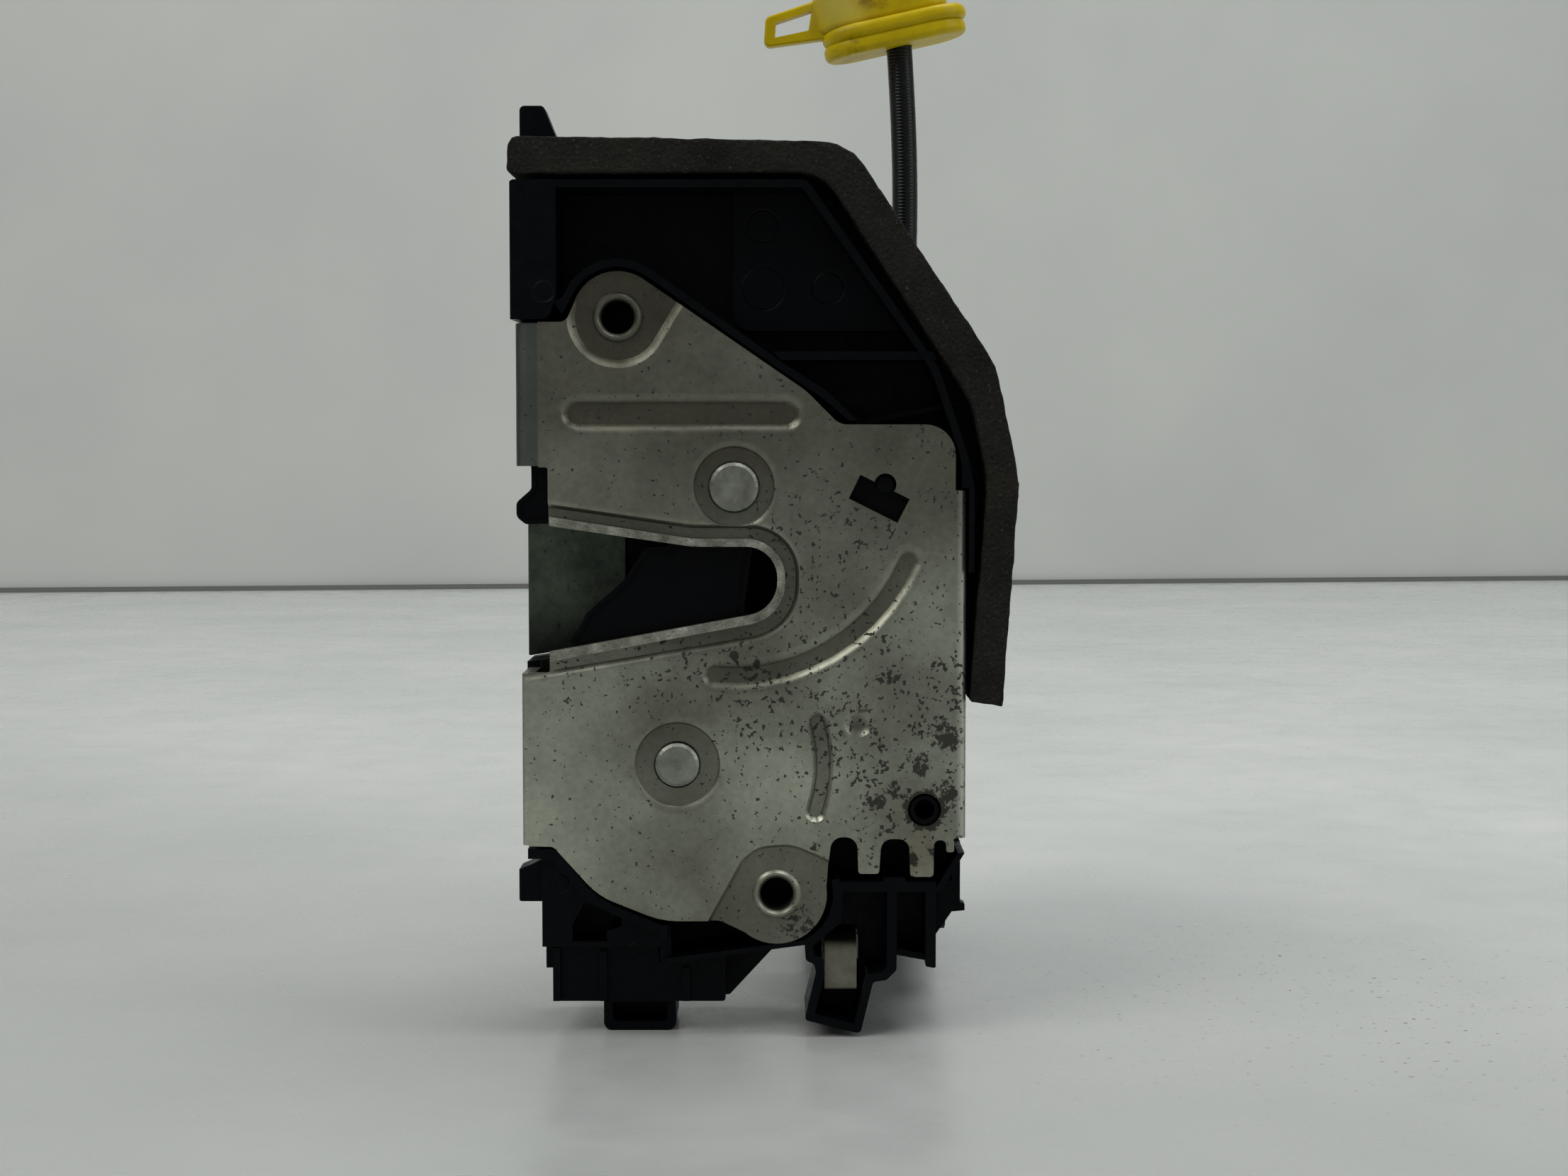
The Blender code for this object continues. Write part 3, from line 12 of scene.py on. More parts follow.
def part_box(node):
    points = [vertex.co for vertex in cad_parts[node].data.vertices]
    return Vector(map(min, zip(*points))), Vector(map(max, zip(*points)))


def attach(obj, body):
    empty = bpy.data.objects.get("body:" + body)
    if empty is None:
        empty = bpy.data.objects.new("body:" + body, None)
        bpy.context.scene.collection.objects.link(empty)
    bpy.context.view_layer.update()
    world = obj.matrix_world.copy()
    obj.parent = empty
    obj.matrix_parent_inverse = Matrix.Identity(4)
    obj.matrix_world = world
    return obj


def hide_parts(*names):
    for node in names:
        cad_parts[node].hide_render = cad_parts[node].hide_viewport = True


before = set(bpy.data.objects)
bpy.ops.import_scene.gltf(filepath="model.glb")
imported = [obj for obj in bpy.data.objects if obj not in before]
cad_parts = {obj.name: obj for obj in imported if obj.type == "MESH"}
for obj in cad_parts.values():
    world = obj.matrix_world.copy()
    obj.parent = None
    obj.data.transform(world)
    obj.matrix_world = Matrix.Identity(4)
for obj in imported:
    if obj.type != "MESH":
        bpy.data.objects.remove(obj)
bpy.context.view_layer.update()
mm = 0.001
pivotPlace = Vector((-4.95, -49.7, 91.5))


def lockPoint(x, y, z):
    return (Vector((x, y, z)) + pivotPlace) * mm


# Materials: patterns read the object's own place in metres, so a Scale of 1000 repeats about every millimetre

def linearHex(code):
    values = [int(code[i:i + 2], 16) / 255 for i in (1, 3, 5)]
    return tuple(v / 12.92 if v <= 0.04045 else ((v + 0.055) / 1.055) ** 2.4 for v in values) + (1.0,)


def setSocket(tree, socket, value):
    # value is a link from another node, a number, a vector or a hex colour
    if isinstance(value, bpy.types.NodeSocket):
        tree.links.new(value, socket)
    else:
        socket.default_value = linearHex(value) if isinstance(value, str) else value


def addNode(tree, kind, settings=None, give=0, **inputs):
    # One node with its settings and inputs; an input is called by its socket's name, or n0, n1 by its place
    node = tree.nodes.new("ShaderNode" + kind)
    for name, value in (settings or {}).items():
        if name == "stops":
            ramp = node.color_ramp
            while len(ramp.elements) < len(value):
                ramp.elements.new(0.5)
            for element, (position, tone) in zip(ramp.elements, value):
                element.position = position
                element.color = linearHex(tone) if isinstance(tone, str) else (tone, tone, tone, 1.0)
        else:
            setattr(node, name, value)
    for name, value in inputs.items():
        socket = node.inputs[int(name[1:])] if name[1:].isdigit() else node.inputs[name.replace("_", " ")]
        setSocket(tree, socket, value)
    return node.outputs if give == "all" else node.outputs[give]


def startMaterial(name, **shaderValues):
    made = bpy.data.materials.new(name)
    made.use_nodes = True
    tree = made.node_tree
    shader = tree.nodes["Principled BSDF"]
    setShader(tree, shader, **shaderValues)
    return made, tree, shader, addNode(tree, "TexCoord", give="Object")


def setShader(tree, shader, **values):
    for name, value in values.items():
        setSocket(tree, shader.inputs[name.replace("_", " ")], value)


colourMix = {"data_type": "RGBA"}
colourTimes = {"data_type": "RGBA", "blend_type": "MULTIPLY"}
smooth = {"interpolation_type": "SMOOTHSTEP"}
times, minus, larger = ({"operation": word} for word in ("MULTIPLY", "SUBTRACT", "MAXIMUM"))


def reach(tree, place, centre, stretch=(1, 0, 1)):
    # Distance from a point in millimetres, by default whatever the depth
    away = addNode(tree, "VectorMath", minus, n0=place, n1=tuple(centre))
    away = addNode(tree, "VectorMath", times, n0=away, n1=stretch)
    length = addNode(tree, "VectorMath", {"operation": "LENGTH"}, "Value", n0=away)
    return addNode(tree, "Math", times, n0=length, n1=1000.0)


def placesMask(tree, place, places):
    # How strongly a point lies in any of the listed places
    total = None
    for x, z, near, far, share in places:
        away = reach(tree, place, lockPoint(x, 0, z))
        part = addNode(tree, "MapRange", smooth, Value=away, From_Min=near, From_Max=far,
                       To_Min=share, To_Max=0.0)
        total = part if total is None else addNode(tree, "Math", larger, n0=total, n1=part)
    return total


def above(tree, value, limit, steep):
    # 0 below a limit, 1 soon above it
    over = addNode(tree, "Math", minus, n0=value, n1=limit)
    return addNode(tree, "Math", {"operation": "MULTIPLY", "use_clamp": True}, n0=over, n1=steep)


zincLook = {
    # The side colour below is painted shade on the left fold
    "bright": "#C0C3B2", "mid": "#9B9D8E", "dull": "#767769", "upper": "#68665A", "side": "#59605F",
    # The worn colour below also serves as a painted highlight on the right fold's edge
    "speck": "#15130E", "rust": "#5E3A1C", "grime": "#322D20", "worn": "#C4C5B8",
    # The upper colour above and the heights below paint shade on the plate's upper part
    "metallic": 0.85, "roughness": 0.33, "upperShadeFrom": 0.066, "upperShadeTo": 0.106,
    "foldSide": (-32.3, -31.8), "foldFrom": (0.0925, 0.094), "rubbedHighlightEdge": (36.4, 37.2),
    "hollowDepth": (0.35, 0.8), "rustPlace": (30.4, 0, -58.6), "rustStretch": (1.3, 0, 0.8),
    # Each dirty place: x, z, inner and outer radius, how much
    "specks": [(22, -38, 2, 36, 1.0), (8, -33, 2, 22, 1.0), (30, -54, 3, 20, 1.0), (14, -12, 3, 22, 0.75),
               (-10, -31, 2, 16, 0.7), (36.5, -30, 2, 14, 0.9), (-28, -30, 1, 9, 0.8), (36, 4, 1, 12, 0.6)],
    "blooms": [(23.6, -52.1, 0.6, 2.6, 1.0), (26.2, -49.9, 0.4, 2.2, 1.0), (31.0, -45.7, 0.8, 3.4, 0.9),
               (34.6, -41.0, 0.8, 4.6, 1.0), (35.2, -50.5, 0.5, 4.0, 0.9), (3.5, -28.7, 0.5, 1.7, 1.0),
               (0.0, -27.7, 0.6, 1.0, 1.3), (13.4, -59.6, 0.3, 1.6, 1.0), (10.5, -72.6, 1.0, 5.0, 0.8),
               (31.4, -53.3, 2.6, 4.8, 1.1), (36.5, 5.5, 0.4, 3.0, 0.8), (-9.4, -45.8, 3.4, 4.4, 0.75),
               (21.0, -36.3, 0.4, 1.8, 0.7), (28.6, -61.0, 0.8, 3.4, 0.9), (33.6, -60.5, 0.6, 3.0, 0.8)],
}


def soilZinc(tree, place, colour, cloud, axes):
    # What years in a door leave on the plating, with painted shade on the left fold and a painted highlight on
    # the right fold's edge; gives the colour and where it is dull
    look = zincLook
    # Painted shade darkens the left fold's side; the right fold's edge gets a painted highlight together with
    # rubbed wear
    inner, outer = (lockPoint(x, 0, 0).x for x in look["foldSide"])
    side = addNode(tree, "MapRange", smooth, Value=axes[0], From_Min=inner, From_Max=outer,
                   To_Min=1.0, To_Max=0.0)
    low, high = look["foldFrom"]
    raised = addNode(tree, "MapRange", smooth, Value=axes[2], From_Min=low, From_Max=high,
                     To_Min=0.0, To_Max=1.0)
    side = addNode(tree, "Math", times, n0=side, n1=raised)
    side = addNode(tree, "Math", times, n0=side, n1=0.8)
    colour = addNode(tree, "Mix", colourMix, 2, n0=side, n6=colour, n7=look["side"])
    # Painted highlight, together with rubbed wear, along the right fold's edge
    inner, outer = (lockPoint(x, 0, 0).x for x in look["rubbedHighlightEdge"])
    rubbedHighlight = addNode(tree, "MapRange", smooth, Value=axes[0], From_Min=inner, From_Max=outer,
                     To_Min=0.0, To_Max=0.8)
    uneven = addNode(tree, "MapRange", smooth, Value=cloud, From_Min=0.35, From_Max=0.6,
                     To_Min=0.4, To_Max=1.0)
    rubbedHighlight = addNode(tree, "Math", times, n0=rubbedHighlight, n1=uneven)
    colour = addNode(tree, "Mix", colourMix, 2, n0=rubbedHighlight, n6=colour, n7=look["worn"])

    # Fine specks crowd at the lower right and round the mouth, in patches about 7 mm wide
    patch = addNode(tree, "TexNoise", Vector=place, Scale=140.0, Detail=3.0, Roughness=0.55)
    patchy = addNode(tree, "MapRange", smooth, Value=patch, From_Min=0.35, From_Max=0.65,
                     To_Min=0.35, To_Max=1.15)
    crowd = addNode(tree, "Math", times, n0=placesMask(tree, place, look["specks"]), n1=patchy)
    speck = None
    for scale, detail, rough, limit, pull, steep in ((1300.0, 1.5, 0.5, 0.7, 0.115, 40.0),
                                                     (560.0, 3.0, 0.6, 0.715, 0.075, 50.0)):
        dots = addNode(tree, "TexNoise", Vector=place, Scale=scale, Detail=detail, Roughness=rough)
        pulled = addNode(tree, "Math", times, n0=crowd, n1=pull)
        size = above(tree, dots, addNode(tree, "Math", minus, n0=limit, n1=pulled), steep)
        speck = size if speck is None else addNode(tree, "Math", larger, n0=speck, n1=size)

    # Blooms of white and black corrosion lie in a few places
    bloomed = addNode(tree, "Math", times, n0=placesMask(tree, place, look["blooms"]), n1=0.27)
    broken = addNode(tree, "TexNoise", Vector=place, Scale=620.0, Detail=5.0, Roughness=0.75)
    bloom = above(tree, broken, addNode(tree, "Math", minus, n0=0.68, n1=bloomed), 26.0)
    speck = addNode(tree, "Math", larger, n0=speck, n1=bloom)

    # Dirt stays in the pressed hollows, and thin stains run over the rest
    shallow, deep = (lockPoint(0, y, 0).y for y in look["hollowDepth"])
    hollow = addNode(tree, "MapRange", smooth, Value=axes[1], From_Min=shallow, From_Max=deep,
                     To_Min=0.0, To_Max=0.5)
    colour = addNode(tree, "Mix", colourMix, 2, n0=hollow, n6=colour, n7=look["grime"])
    blotch = addNode(tree, "TexNoise", Vector=place, Scale=210.0, Detail=5.0, Roughness=0.7)
    stain = addNode(tree, "Math", times, n0=above(tree, blotch, 0.6, 7.0), n1=0.22)
    colour = addNode(tree, "Mix", colourMix, 2, n0=stain, n6=colour, n7=look["grime"])

    # Rust runs down from the third bore
    away = reach(tree, place, lockPoint(*look["rustPlace"]), look["rustStretch"])
    rust = addNode(tree, "MapRange", smooth, Value=away, From_Min=1.0, From_Max=6.5, To_Min=0.8, To_Max=0.0)
    patchy = addNode(tree, "MapRange", smooth, Value=patch, From_Min=0.4, From_Max=0.6,
                     To_Min=0.3, To_Max=1.0)
    rust = addNode(tree, "Math", times, n0=rust, n1=patchy)
    colour = addNode(tree, "Mix", colourMix, 2, n0=rust, n6=colour, n7=look["rust"])
    cover = addNode(tree, "Math", times, n0=speck, n1=0.92)
    colour = addNode(tree, "Mix", colourMix, 2, n0=cover, n6=colour, n7=look["speck"])
    dull = addNode(tree, "Math", larger, n0=rust, n1=stain)
    return colour, addNode(tree, "Math", larger, n0=speck, n1=dull)


def makeZinc(name, soiled=True):
    # Zinc-plated pressed steel: soft satin reflections in clouds 26 mm wide over a 1 mm rolled grain
    look = zincLook
    made, tree, shader, place = startMaterial(name, Metallic=look["metallic"], Specular_IOR_Level=0.5)
    cloud = addNode(tree, "TexNoise", Vector=place, Scale=38.0, Detail=3.0, Roughness=0.5)
    grain = addNode(tree, "TexNoise", Vector=place, Scale=900.0, Detail=3.0, Roughness=0.6)
    tones = {"stops": ((0.3, look["dull"]), (0.5, look["mid"]), (0.72, look["bright"]))}
    colour = addNode(tree, "ValToRGB", tones, Fac=cloud)
    axes = addNode(tree, "SeparateXYZ", give="all", n0=place)
    # Painted shade: the upper part is darker and browner, standing in for the darker room it reflects
    upper = addNode(tree, "MapRange", smooth, Value=axes[2], From_Min=look["upperShadeFrom"],
                    From_Max=look["upperShadeTo"],
                    To_Min=0.0, To_Max=0.75)
    colour = addNode(tree, "Mix", colourMix, 2, n0=upper, n6=colour, n7=look["upper"])
    grainTone = addNode(tree, "ValToRGB", {"stops": ((0.35, 0.84), (0.65, 1.0))}, Fac=grain)
    colour = addNode(tree, "Mix", colourTimes, 2, n0=1.0, n6=colour, n7=grainTone)
    # Handled patches about 8 mm wide are rougher
    handled = addNode(tree, "TexNoise", Vector=place, Scale=120.0, Detail=4.0, Roughness=0.55)
    rough = addNode(tree, "MapRange", smooth, Value=handled, From_Min=0.3, From_Max=0.7,
                    To_Min=look["roughness"] - 0.05, To_Max=look["roughness"] + 0.12)
    if soiled:
        colour, dull = soilZinc(tree, place, colour, cloud, axes)
        rougher = addNode(tree, "Math", times, n0=dull, n1=0.35)
        rough = addNode(tree, "Math", {"operation": "ADD", "use_clamp": True}, n0=rough, n1=rougher)
        lost = addNode(tree, "Math", times, n0=dull, n1=0.7)
        metal = addNode(tree, "Math", {"operation": "SUBTRACT", "use_clamp": True}, n0=look["metallic"],
                        n1=lost)
        setShader(tree, shader, Metallic=metal)
    bump = addNode(tree, "Bump", Strength=1.0, Distance=0.00003, Height=grain)
    waves = addNode(tree, "TexNoise", Vector=place, Scale=60.0, Detail=2.0, Roughness=0.55)
    bump = addNode(tree, "Bump", Strength=1.0, Distance=0.0004, Height=waves, Normal=bump)
    setShader(tree, shader, Base_Color=colour, Roughness=rough, Normal=bump)
    return made


def makeWornZinc(name):
    # The mouth's lip, rubbed bright by the striker in strokes of 4 mm, chipped and pitted every 1 mm
    made, tree, shader, place = startMaterial(name, Metallic=0.95, Roughness=0.26)
    pits = addNode(tree, "TexNoise", Vector=place, Scale=900.0, Detail=4.0, Roughness=0.7)
    strokes = addNode(tree, "TexNoise", Vector=place, Scale=260.0, Detail=4.0, Roughness=0.65)
    colour = addNode(tree, "ValToRGB", {"stops": ((0.32, "#77776A"), (0.52, "#A5A698"), (0.7, "#D2D2C6"))},
                     Fac=strokes)
    colour = addNode(tree, "Mix", colourMix, 2, n0=above(tree, pits, 0.62, 14.0), n6=colour, n7="#17140F")
    bump = addNode(tree, "Bump", Strength=1.0, Distance=0.00012, Height=pits)
    setShader(tree, shader, Base_Color=colour, Normal=bump)
    return made


def makeGuardZinc(name):
    # The thin sheet at the back of the mouth: greenish zinc in clouds of 6 mm with spots of 1 mm,
    # with painted shade darkening it toward the bottom
    made, tree, shader, place = startMaterial(name, Metallic=0.7, Roughness=0.42)
    height = addNode(tree, "SeparateXYZ", give=2, n0=place)
    cloud = addNode(tree, "TexNoise", Vector=place, Scale=170.0, Detail=5.0, Roughness=0.7)
    colour = addNode(tree, "ValToRGB", {"stops": ((0.3, "#30362E"), (0.6, "#555E51"))}, Fac=cloud)
    # Painted shade toward the bottom of the sheet
    bottomShade = addNode(tree, "MapRange", smooth, Value=height, From_Min=0.06, From_Max=0.075,
                   To_Min=0.85, To_Max=0.0)
    colour = addNode(tree, "Mix", colourMix, 2, n0=bottomShade, n6=colour, n7="#12130F")
    spots = addNode(tree, "TexNoise", Vector=place, Scale=800.0, Detail=4.0, Roughness=0.7)
    colour = addNode(tree, "Mix", colourMix, 2, n0=above(tree, spots, 0.6, 12.0), n6=colour, n7="#0D0D0A")
    setShader(tree, shader, Base_Color=colour)
    return made


def makeSteel(name, light, dark, roughness=0.35, metallic=1.0):
    # Plain machined or cold-headed steel: even satin, tones 4.5 mm wide, handling marks about 1 mm
    made, tree, shader, place = startMaterial(name, Metallic=metallic)
    tone = addNode(tree, "TexNoise", Vector=place, Scale=220.0, Detail=4.0, Roughness=0.65)
    colour = addNode(tree, "ValToRGB", {"stops": ((0.3, dark), (0.7, light))}, Fac=tone)
    marks = addNode(tree, "TexNoise", Vector=place, Scale=700.0, Detail=2.0, Roughness=0.55)
    rough = addNode(tree, "MapRange", smooth, Value=marks, From_Min=0.3, From_Max=0.7,
                    To_Min=roughness - 0.06, To_Max=roughness + 0.1)
    skin = addNode(tree, "TexNoise", Vector=place, Scale=1400.0, Detail=2.0, Roughness=0.55)
    bump = addNode(tree, "Bump", Strength=1.0, Distance=0.00003, Height=skin)
    setShader(tree, shader, Base_Color=colour, Roughness=rough, Normal=bump)
    return made


def makePlastic(name, base, dusty, roughness=0.45, dust=0.35, pinMarks=()):
    # Glass-filled moulded plastic: eroded skin of 0.6 mm grain, scuffs of 2.4 mm, dust in clouds of 14 mm
    made, tree, shader, place = startMaterial(name, IOR=1.5, Specular_IOR_Level=0.1)
    cloud = addNode(tree, "TexNoise", Vector=place, Scale=70.0, Detail=5.0, Roughness=0.65)
    dusted = addNode(tree, "MapRange", smooth, Value=cloud, From_Min=0.45, From_Max=0.75,
                     To_Min=0.0, To_Max=dust)
    colour = addNode(tree, "Mix", colourMix, 2, n0=dusted, n6=base, n7=dusty)
    motes = addNode(tree, "TexNoise", Vector=place, Scale=2600.0, Detail=1.0, Roughness=0.55)
    motes = addNode(tree, "MapRange", smooth, Value=motes, From_Min=0.7, From_Max=0.76,
                    To_Min=0.0, To_Max=0.5)
    colour = addNode(tree, "Mix", colourMix, 2, n0=motes, n6=colour, n7=dusty)
    scuff = addNode(tree, "TexNoise", Vector=place, Scale=420.0, Detail=4.0, Roughness=0.7)
    rough = addNode(tree, "MapRange", smooth, Value=scuff, From_Min=0.3, From_Max=0.7,
                    To_Min=roughness - 0.08, To_Max=roughness + 0.12)
    skin = addNode(tree, "TexNoise", Vector=place, Scale=1600.0, Detail=2.0, Roughness=0.55)
    bump = addNode(tree, "Bump", Strength=1.0, Distance=0.00004, Height=skin)
    for centre, radius in pinMarks:
        # The ring that a mould's ejector pin leaves
        away = addNode(tree, "Math", minus, n0=reach(tree, place, lockPoint(*centre)), n1=radius)
        away = addNode(tree, "Math", {"operation": "ABSOLUTE"}, n0=away)
        ring = addNode(tree, "MapRange", smooth, Value=away, From_Min=0.0, From_Max=0.28,
                       To_Min=0.0, To_Max=1.0)
        bump = addNode(tree, "Bump", Strength=1.0, Distance=0.0001, Height=ring, Normal=bump)
    setShader(tree, shader, Base_Color=colour, Roughness=rough, Normal=bump)
    return made


def makeFoam(name):
    # Cellular rubber foam: cut cells of 0.7 mm, brown-black and gritty with road dust
    made, tree, shader, place = startMaterial(name, Specular_IOR_Level=0.2, Roughness=0.95)
    cells = addNode(tree, "TexVoronoi", give="Distance", Vector=place, Scale=1500.0)
    cloud = addNode(tree, "TexNoise", Vector=place, Scale=90.0, Detail=5.0, Roughness=0.7)
    grit = addNode(tree, "TexNoise", Vector=place, Scale=1700.0, Detail=3.0, Roughness=0.75)
    colour = addNode(tree, "ValToRGB", {"stops": ((0.3, "#171715"), (0.55, "#24231F"), (0.8, "#312F28"))},
                     Fac=cloud)
    dust = addNode(tree, "MapRange", smooth, Value=grit, From_Min=0.58, From_Max=0.7, To_Min=0.0, To_Max=0.5)
    colour = addNode(tree, "Mix", colourMix, 2, n0=dust, n6=colour, n7="#5C574A")
    pores = addNode(tree, "MapRange", smooth, Value=grit, From_Min=0.3, From_Max=0.42,
                    To_Min=0.8, To_Max=0.0)
    colour = addNode(tree, "Mix", colourMix, 2, n0=pores, n6=colour, n7="#070706")
    bump = addNode(tree, "Bump", Strength=1.0, Distance=0.00035, Height=cells)
    bump = addNode(tree, "Bump", Strength=1.0, Distance=0.0004, Height=grit, Normal=bump)
    setShader(tree, shader, Base_Color=colour, Normal=bump)
    return made


def makeSheath(name):
    # Extruded sheath over a wound conduit: its turns show as faint rings 0.64 mm apart
    made, tree, shader, place = startMaterial(name, IOR=1.5, Specular_IOR_Level=0.3)
    wave = addNode(tree, "TexWave", {"wave_type": "BANDS", "bands_direction": "Z"}, 1, Vector=place,
                   Scale=490.0,
                   Distortion=0.6, Detail=1.0)
    along = addNode(tree, "Mapping", Vector=place, Scale=(1, 1, 3))
    scuff = addNode(tree, "TexNoise", Vector=along, Scale=500.0, Detail=4.0, Roughness=0.7)
    worn = addNode(tree, "MapRange", smooth, Value=scuff, From_Min=0.5, From_Max=0.72,
                   To_Min=0.0, To_Max=0.5)
    colour = addNode(tree, "Mix", colourMix, 2, n0=worn, n6="#020305", n7="#101216")
    ring = addNode(tree, "MapRange", smooth, Value=wave, From_Min=0.75, From_Max=1.0,
                   To_Min=0.0, To_Max=0.25)
    colour = addNode(tree, "Mix", colourMix, 2, n0=ring, n6=colour, n7="#1C1E22")
    rough = addNode(tree, "MapRange", smooth, Value=scuff, From_Min=0.3, From_Max=0.7,
                    To_Min=0.22, To_Max=0.36)
    bump = addNode(tree, "Bump", Strength=1.0, Distance=0.00006, Height=wave)
    setShader(tree, shader, Base_Color=colour, Roughness=rough, Normal=bump)
    return made


def makeYellow(name):
    # Moulded acetal, tinted yellow and slightly see-through, in clouds of 8 mm: paler where thick,
    # with brown grease in two places
    made, tree, shader, place = startMaterial(name, IOR=1.48, Specular_IOR_Level=0.2, Subsurface_Weight=0.15,
                                              Subsurface_Radius=(1.0, 0.8, 0.15), Subsurface_Scale=0.002)
    cloud = addNode(tree, "TexNoise", Vector=place, Scale=120.0, Detail=4.0, Roughness=0.6)
    colour = addNode(tree, "ValToRGB", {"stops": ((0.3, "#B69C02"), (0.6, "#CDB404"), (0.8, "#DAC60C"))},
                     Fac=cloud)
    away = reach(tree, place, lockPoint(19.0, 85, 92.0), (1, 0, 1.3))
    pale = addNode(tree, "MapRange", smooth, Value=away, From_Min=1.0, From_Max=8.5, To_Min=0.4, To_Max=0.0)
    colour = addNode(tree, "Mix", colourMix, 2, n0=pale, n6=colour, n7="#D6CE7A")
    away = reach(tree, place, lockPoint(26, 85, 94.5), (0.8, 0, 1.3))
    hub = addNode(tree, "MapRange", smooth, Value=away, From_Min=2.5, From_Max=5.5, To_Min=1.0, To_Max=0.0)
    away = reach(tree, place, lockPoint(20.5, 85, 84), (1, 0, 1.8))
    rim = addNode(tree, "MapRange", smooth, Value=away, From_Min=1.5, From_Max=5.5, To_Min=0.8, To_Max=0.0)
    blotch = addNode(tree, "TexNoise", Vector=place, Scale=260.0, Detail=4.0, Roughness=0.6)
    blotch = addNode(tree, "MapRange", smooth, Value=blotch, From_Min=0.4, From_Max=0.62,
                     To_Min=0.0, To_Max=0.85)
    greasy = addNode(tree, "Math", larger, n0=hub, n1=rim)
    stain = addNode(tree, "Math", times, n0=blotch, n1=greasy)
    colour = addNode(tree, "Mix", colourMix, 2, n0=stain, n6=colour, n7="#7C5A1A")
    rough = addNode(tree, "MapRange", smooth, Value=cloud, From_Min=0.3, From_Max=0.7,
                    To_Min=0.28, To_Max=0.42)
    skin = addNode(tree, "TexNoise", Vector=place, Scale=900.0, Detail=2.0, Roughness=0.55)
    bump = addNode(tree, "Bump", Strength=1.0, Distance=0.00004, Height=skin)
    setShader(tree, shader, Base_Color=colour, Roughness=rough, Normal=bump)
    return made


def makeNylon(name):
    # Unpigmented moulded nylon: waxy cream, slightly see-through, greyed by dust in spots of 3 mm
    made, tree, shader, place = startMaterial(name, IOR=1.53, Roughness=0.42, Subsurface_Weight=0.3,
                                              Subsurface_Radius=(1.0, 0.85, 0.6), Subsurface_Scale=0.0015)
    cloud = addNode(tree, "TexNoise", Vector=place, Scale=300.0, Detail=4.0, Roughness=0.6)
    colour = addNode(tree, "ValToRGB", {"stops": ((0.3, "#858270"), (0.6, "#A5A18E"), (0.8, "#B9B6A3"))},
                     Fac=cloud)
    # Painted shade, together with greasy road dirt, darkens a band on the outside handle lever's upper side
    height = addNode(tree, "SeparateXYZ", give=2, n0=place)
    start = addNode(tree, "MapRange", smooth, Value=height, From_Min=0.0143, From_Max=0.0152,
                    To_Min=0.0, To_Max=0.96)
    end = addNode(tree, "MapRange", smooth, Value=height, From_Min=0.019, From_Max=0.02,
                  To_Min=1.0, To_Max=0.0)
    shadeAndDirt = addNode(tree, "Math", times, n0=start, n1=end)
    colour = addNode(tree, "Mix", colourMix, 2, n0=shadeAndDirt, n6=colour, n7="#0D0C0A")
    skin = addNode(tree, "TexNoise", Vector=place, Scale=1100.0, Detail=2.0, Roughness=0.55)
    bump = addNode(tree, "Bump", Strength=1.0, Distance=0.00003, Height=skin)
    setShader(tree, shader, Base_Color=colour, Normal=bump)
    return made


# Each pin mark: its centre and radius
casePins = [((-31.0, 0, 31.9), 1.7), ((4.7, 0, 43.2), 2.6), ((4.7, 0, 32.9), 3.6), ((15.6, 0, 33.0), 2.6),
            ((-29.0, 0, -66.0), 1.5), ((-16.5, 0, -77.4), 1.5)]
looks = {
    "zinc": makeZinc("ZincPlatedSteel"),
    "zincPlain": makeZinc("ZincPlatedSteelInner", soiled=False),
    "zincWorn": makeWornZinc("ZincWornBright"), "zincGuard": makeGuardZinc("ZincGuardShadedBelow"),
    "steel": makeSteel("HardenedSteel", "#8E8E8C", "#5F5F5E"),
    "rivet": makeSteel("ColdHeadedRivetSteel", "#A3A59B", "#6E7066", 0.42, 0.85),
    "phosphated": makeSteel("PhosphatedSteel", "#2C2C29", "#171715", 0.5),
    "brass": makeSteel("Brass", "#C9A45C", "#9A7A3C", 0.3),
    "casePlastic": makePlastic("GlassFilledPbtBlack", "#020408", "#0B1017", 0.4, dust=0.3, pinMarks=casePins),
    "drivePlastic": makePlastic("AcetalBlack", "#040507", "#111317", 0.5),
    "catchPlastic": makePlastic("CatchJacketPlastic", "#010205", "#06080C", 0.45),
    "rubber": makePlastic("MouldedRubberBlack", "#121212", "#2C2B29", 0.75),
    "foam": makeFoam("CellularFoamRubber"),
    "sheath": makeSheath("BowdenSheath"),
    "yellow": makeYellow("YellowAcetal"),
    "nylon": makeNylon("NaturalNylon"),
}
print("materials")


# Shapes

def finishMesh(name, shape, look, sharpAngle=35.0):
    bmesh.ops.recalc_face_normals(shape, faces=shape.faces)
    for face in shape.faces:
        face.smooth = True
    mesh = bpy.data.meshes.new(name)
    shape.to_mesh(mesh)
    shape.free()
    mesh.set_sharp_from_angle(angle=math.radians(sharpAngle))
    mesh.materials.append(looks[look])
    made = bpy.data.objects.new(name, mesh)
    bpy.context.scene.collection.objects.link(made)
    even = made.modifiers.new("evenShading", "WEIGHTED_NORMAL")
    even.keep_sharp = True
    return made


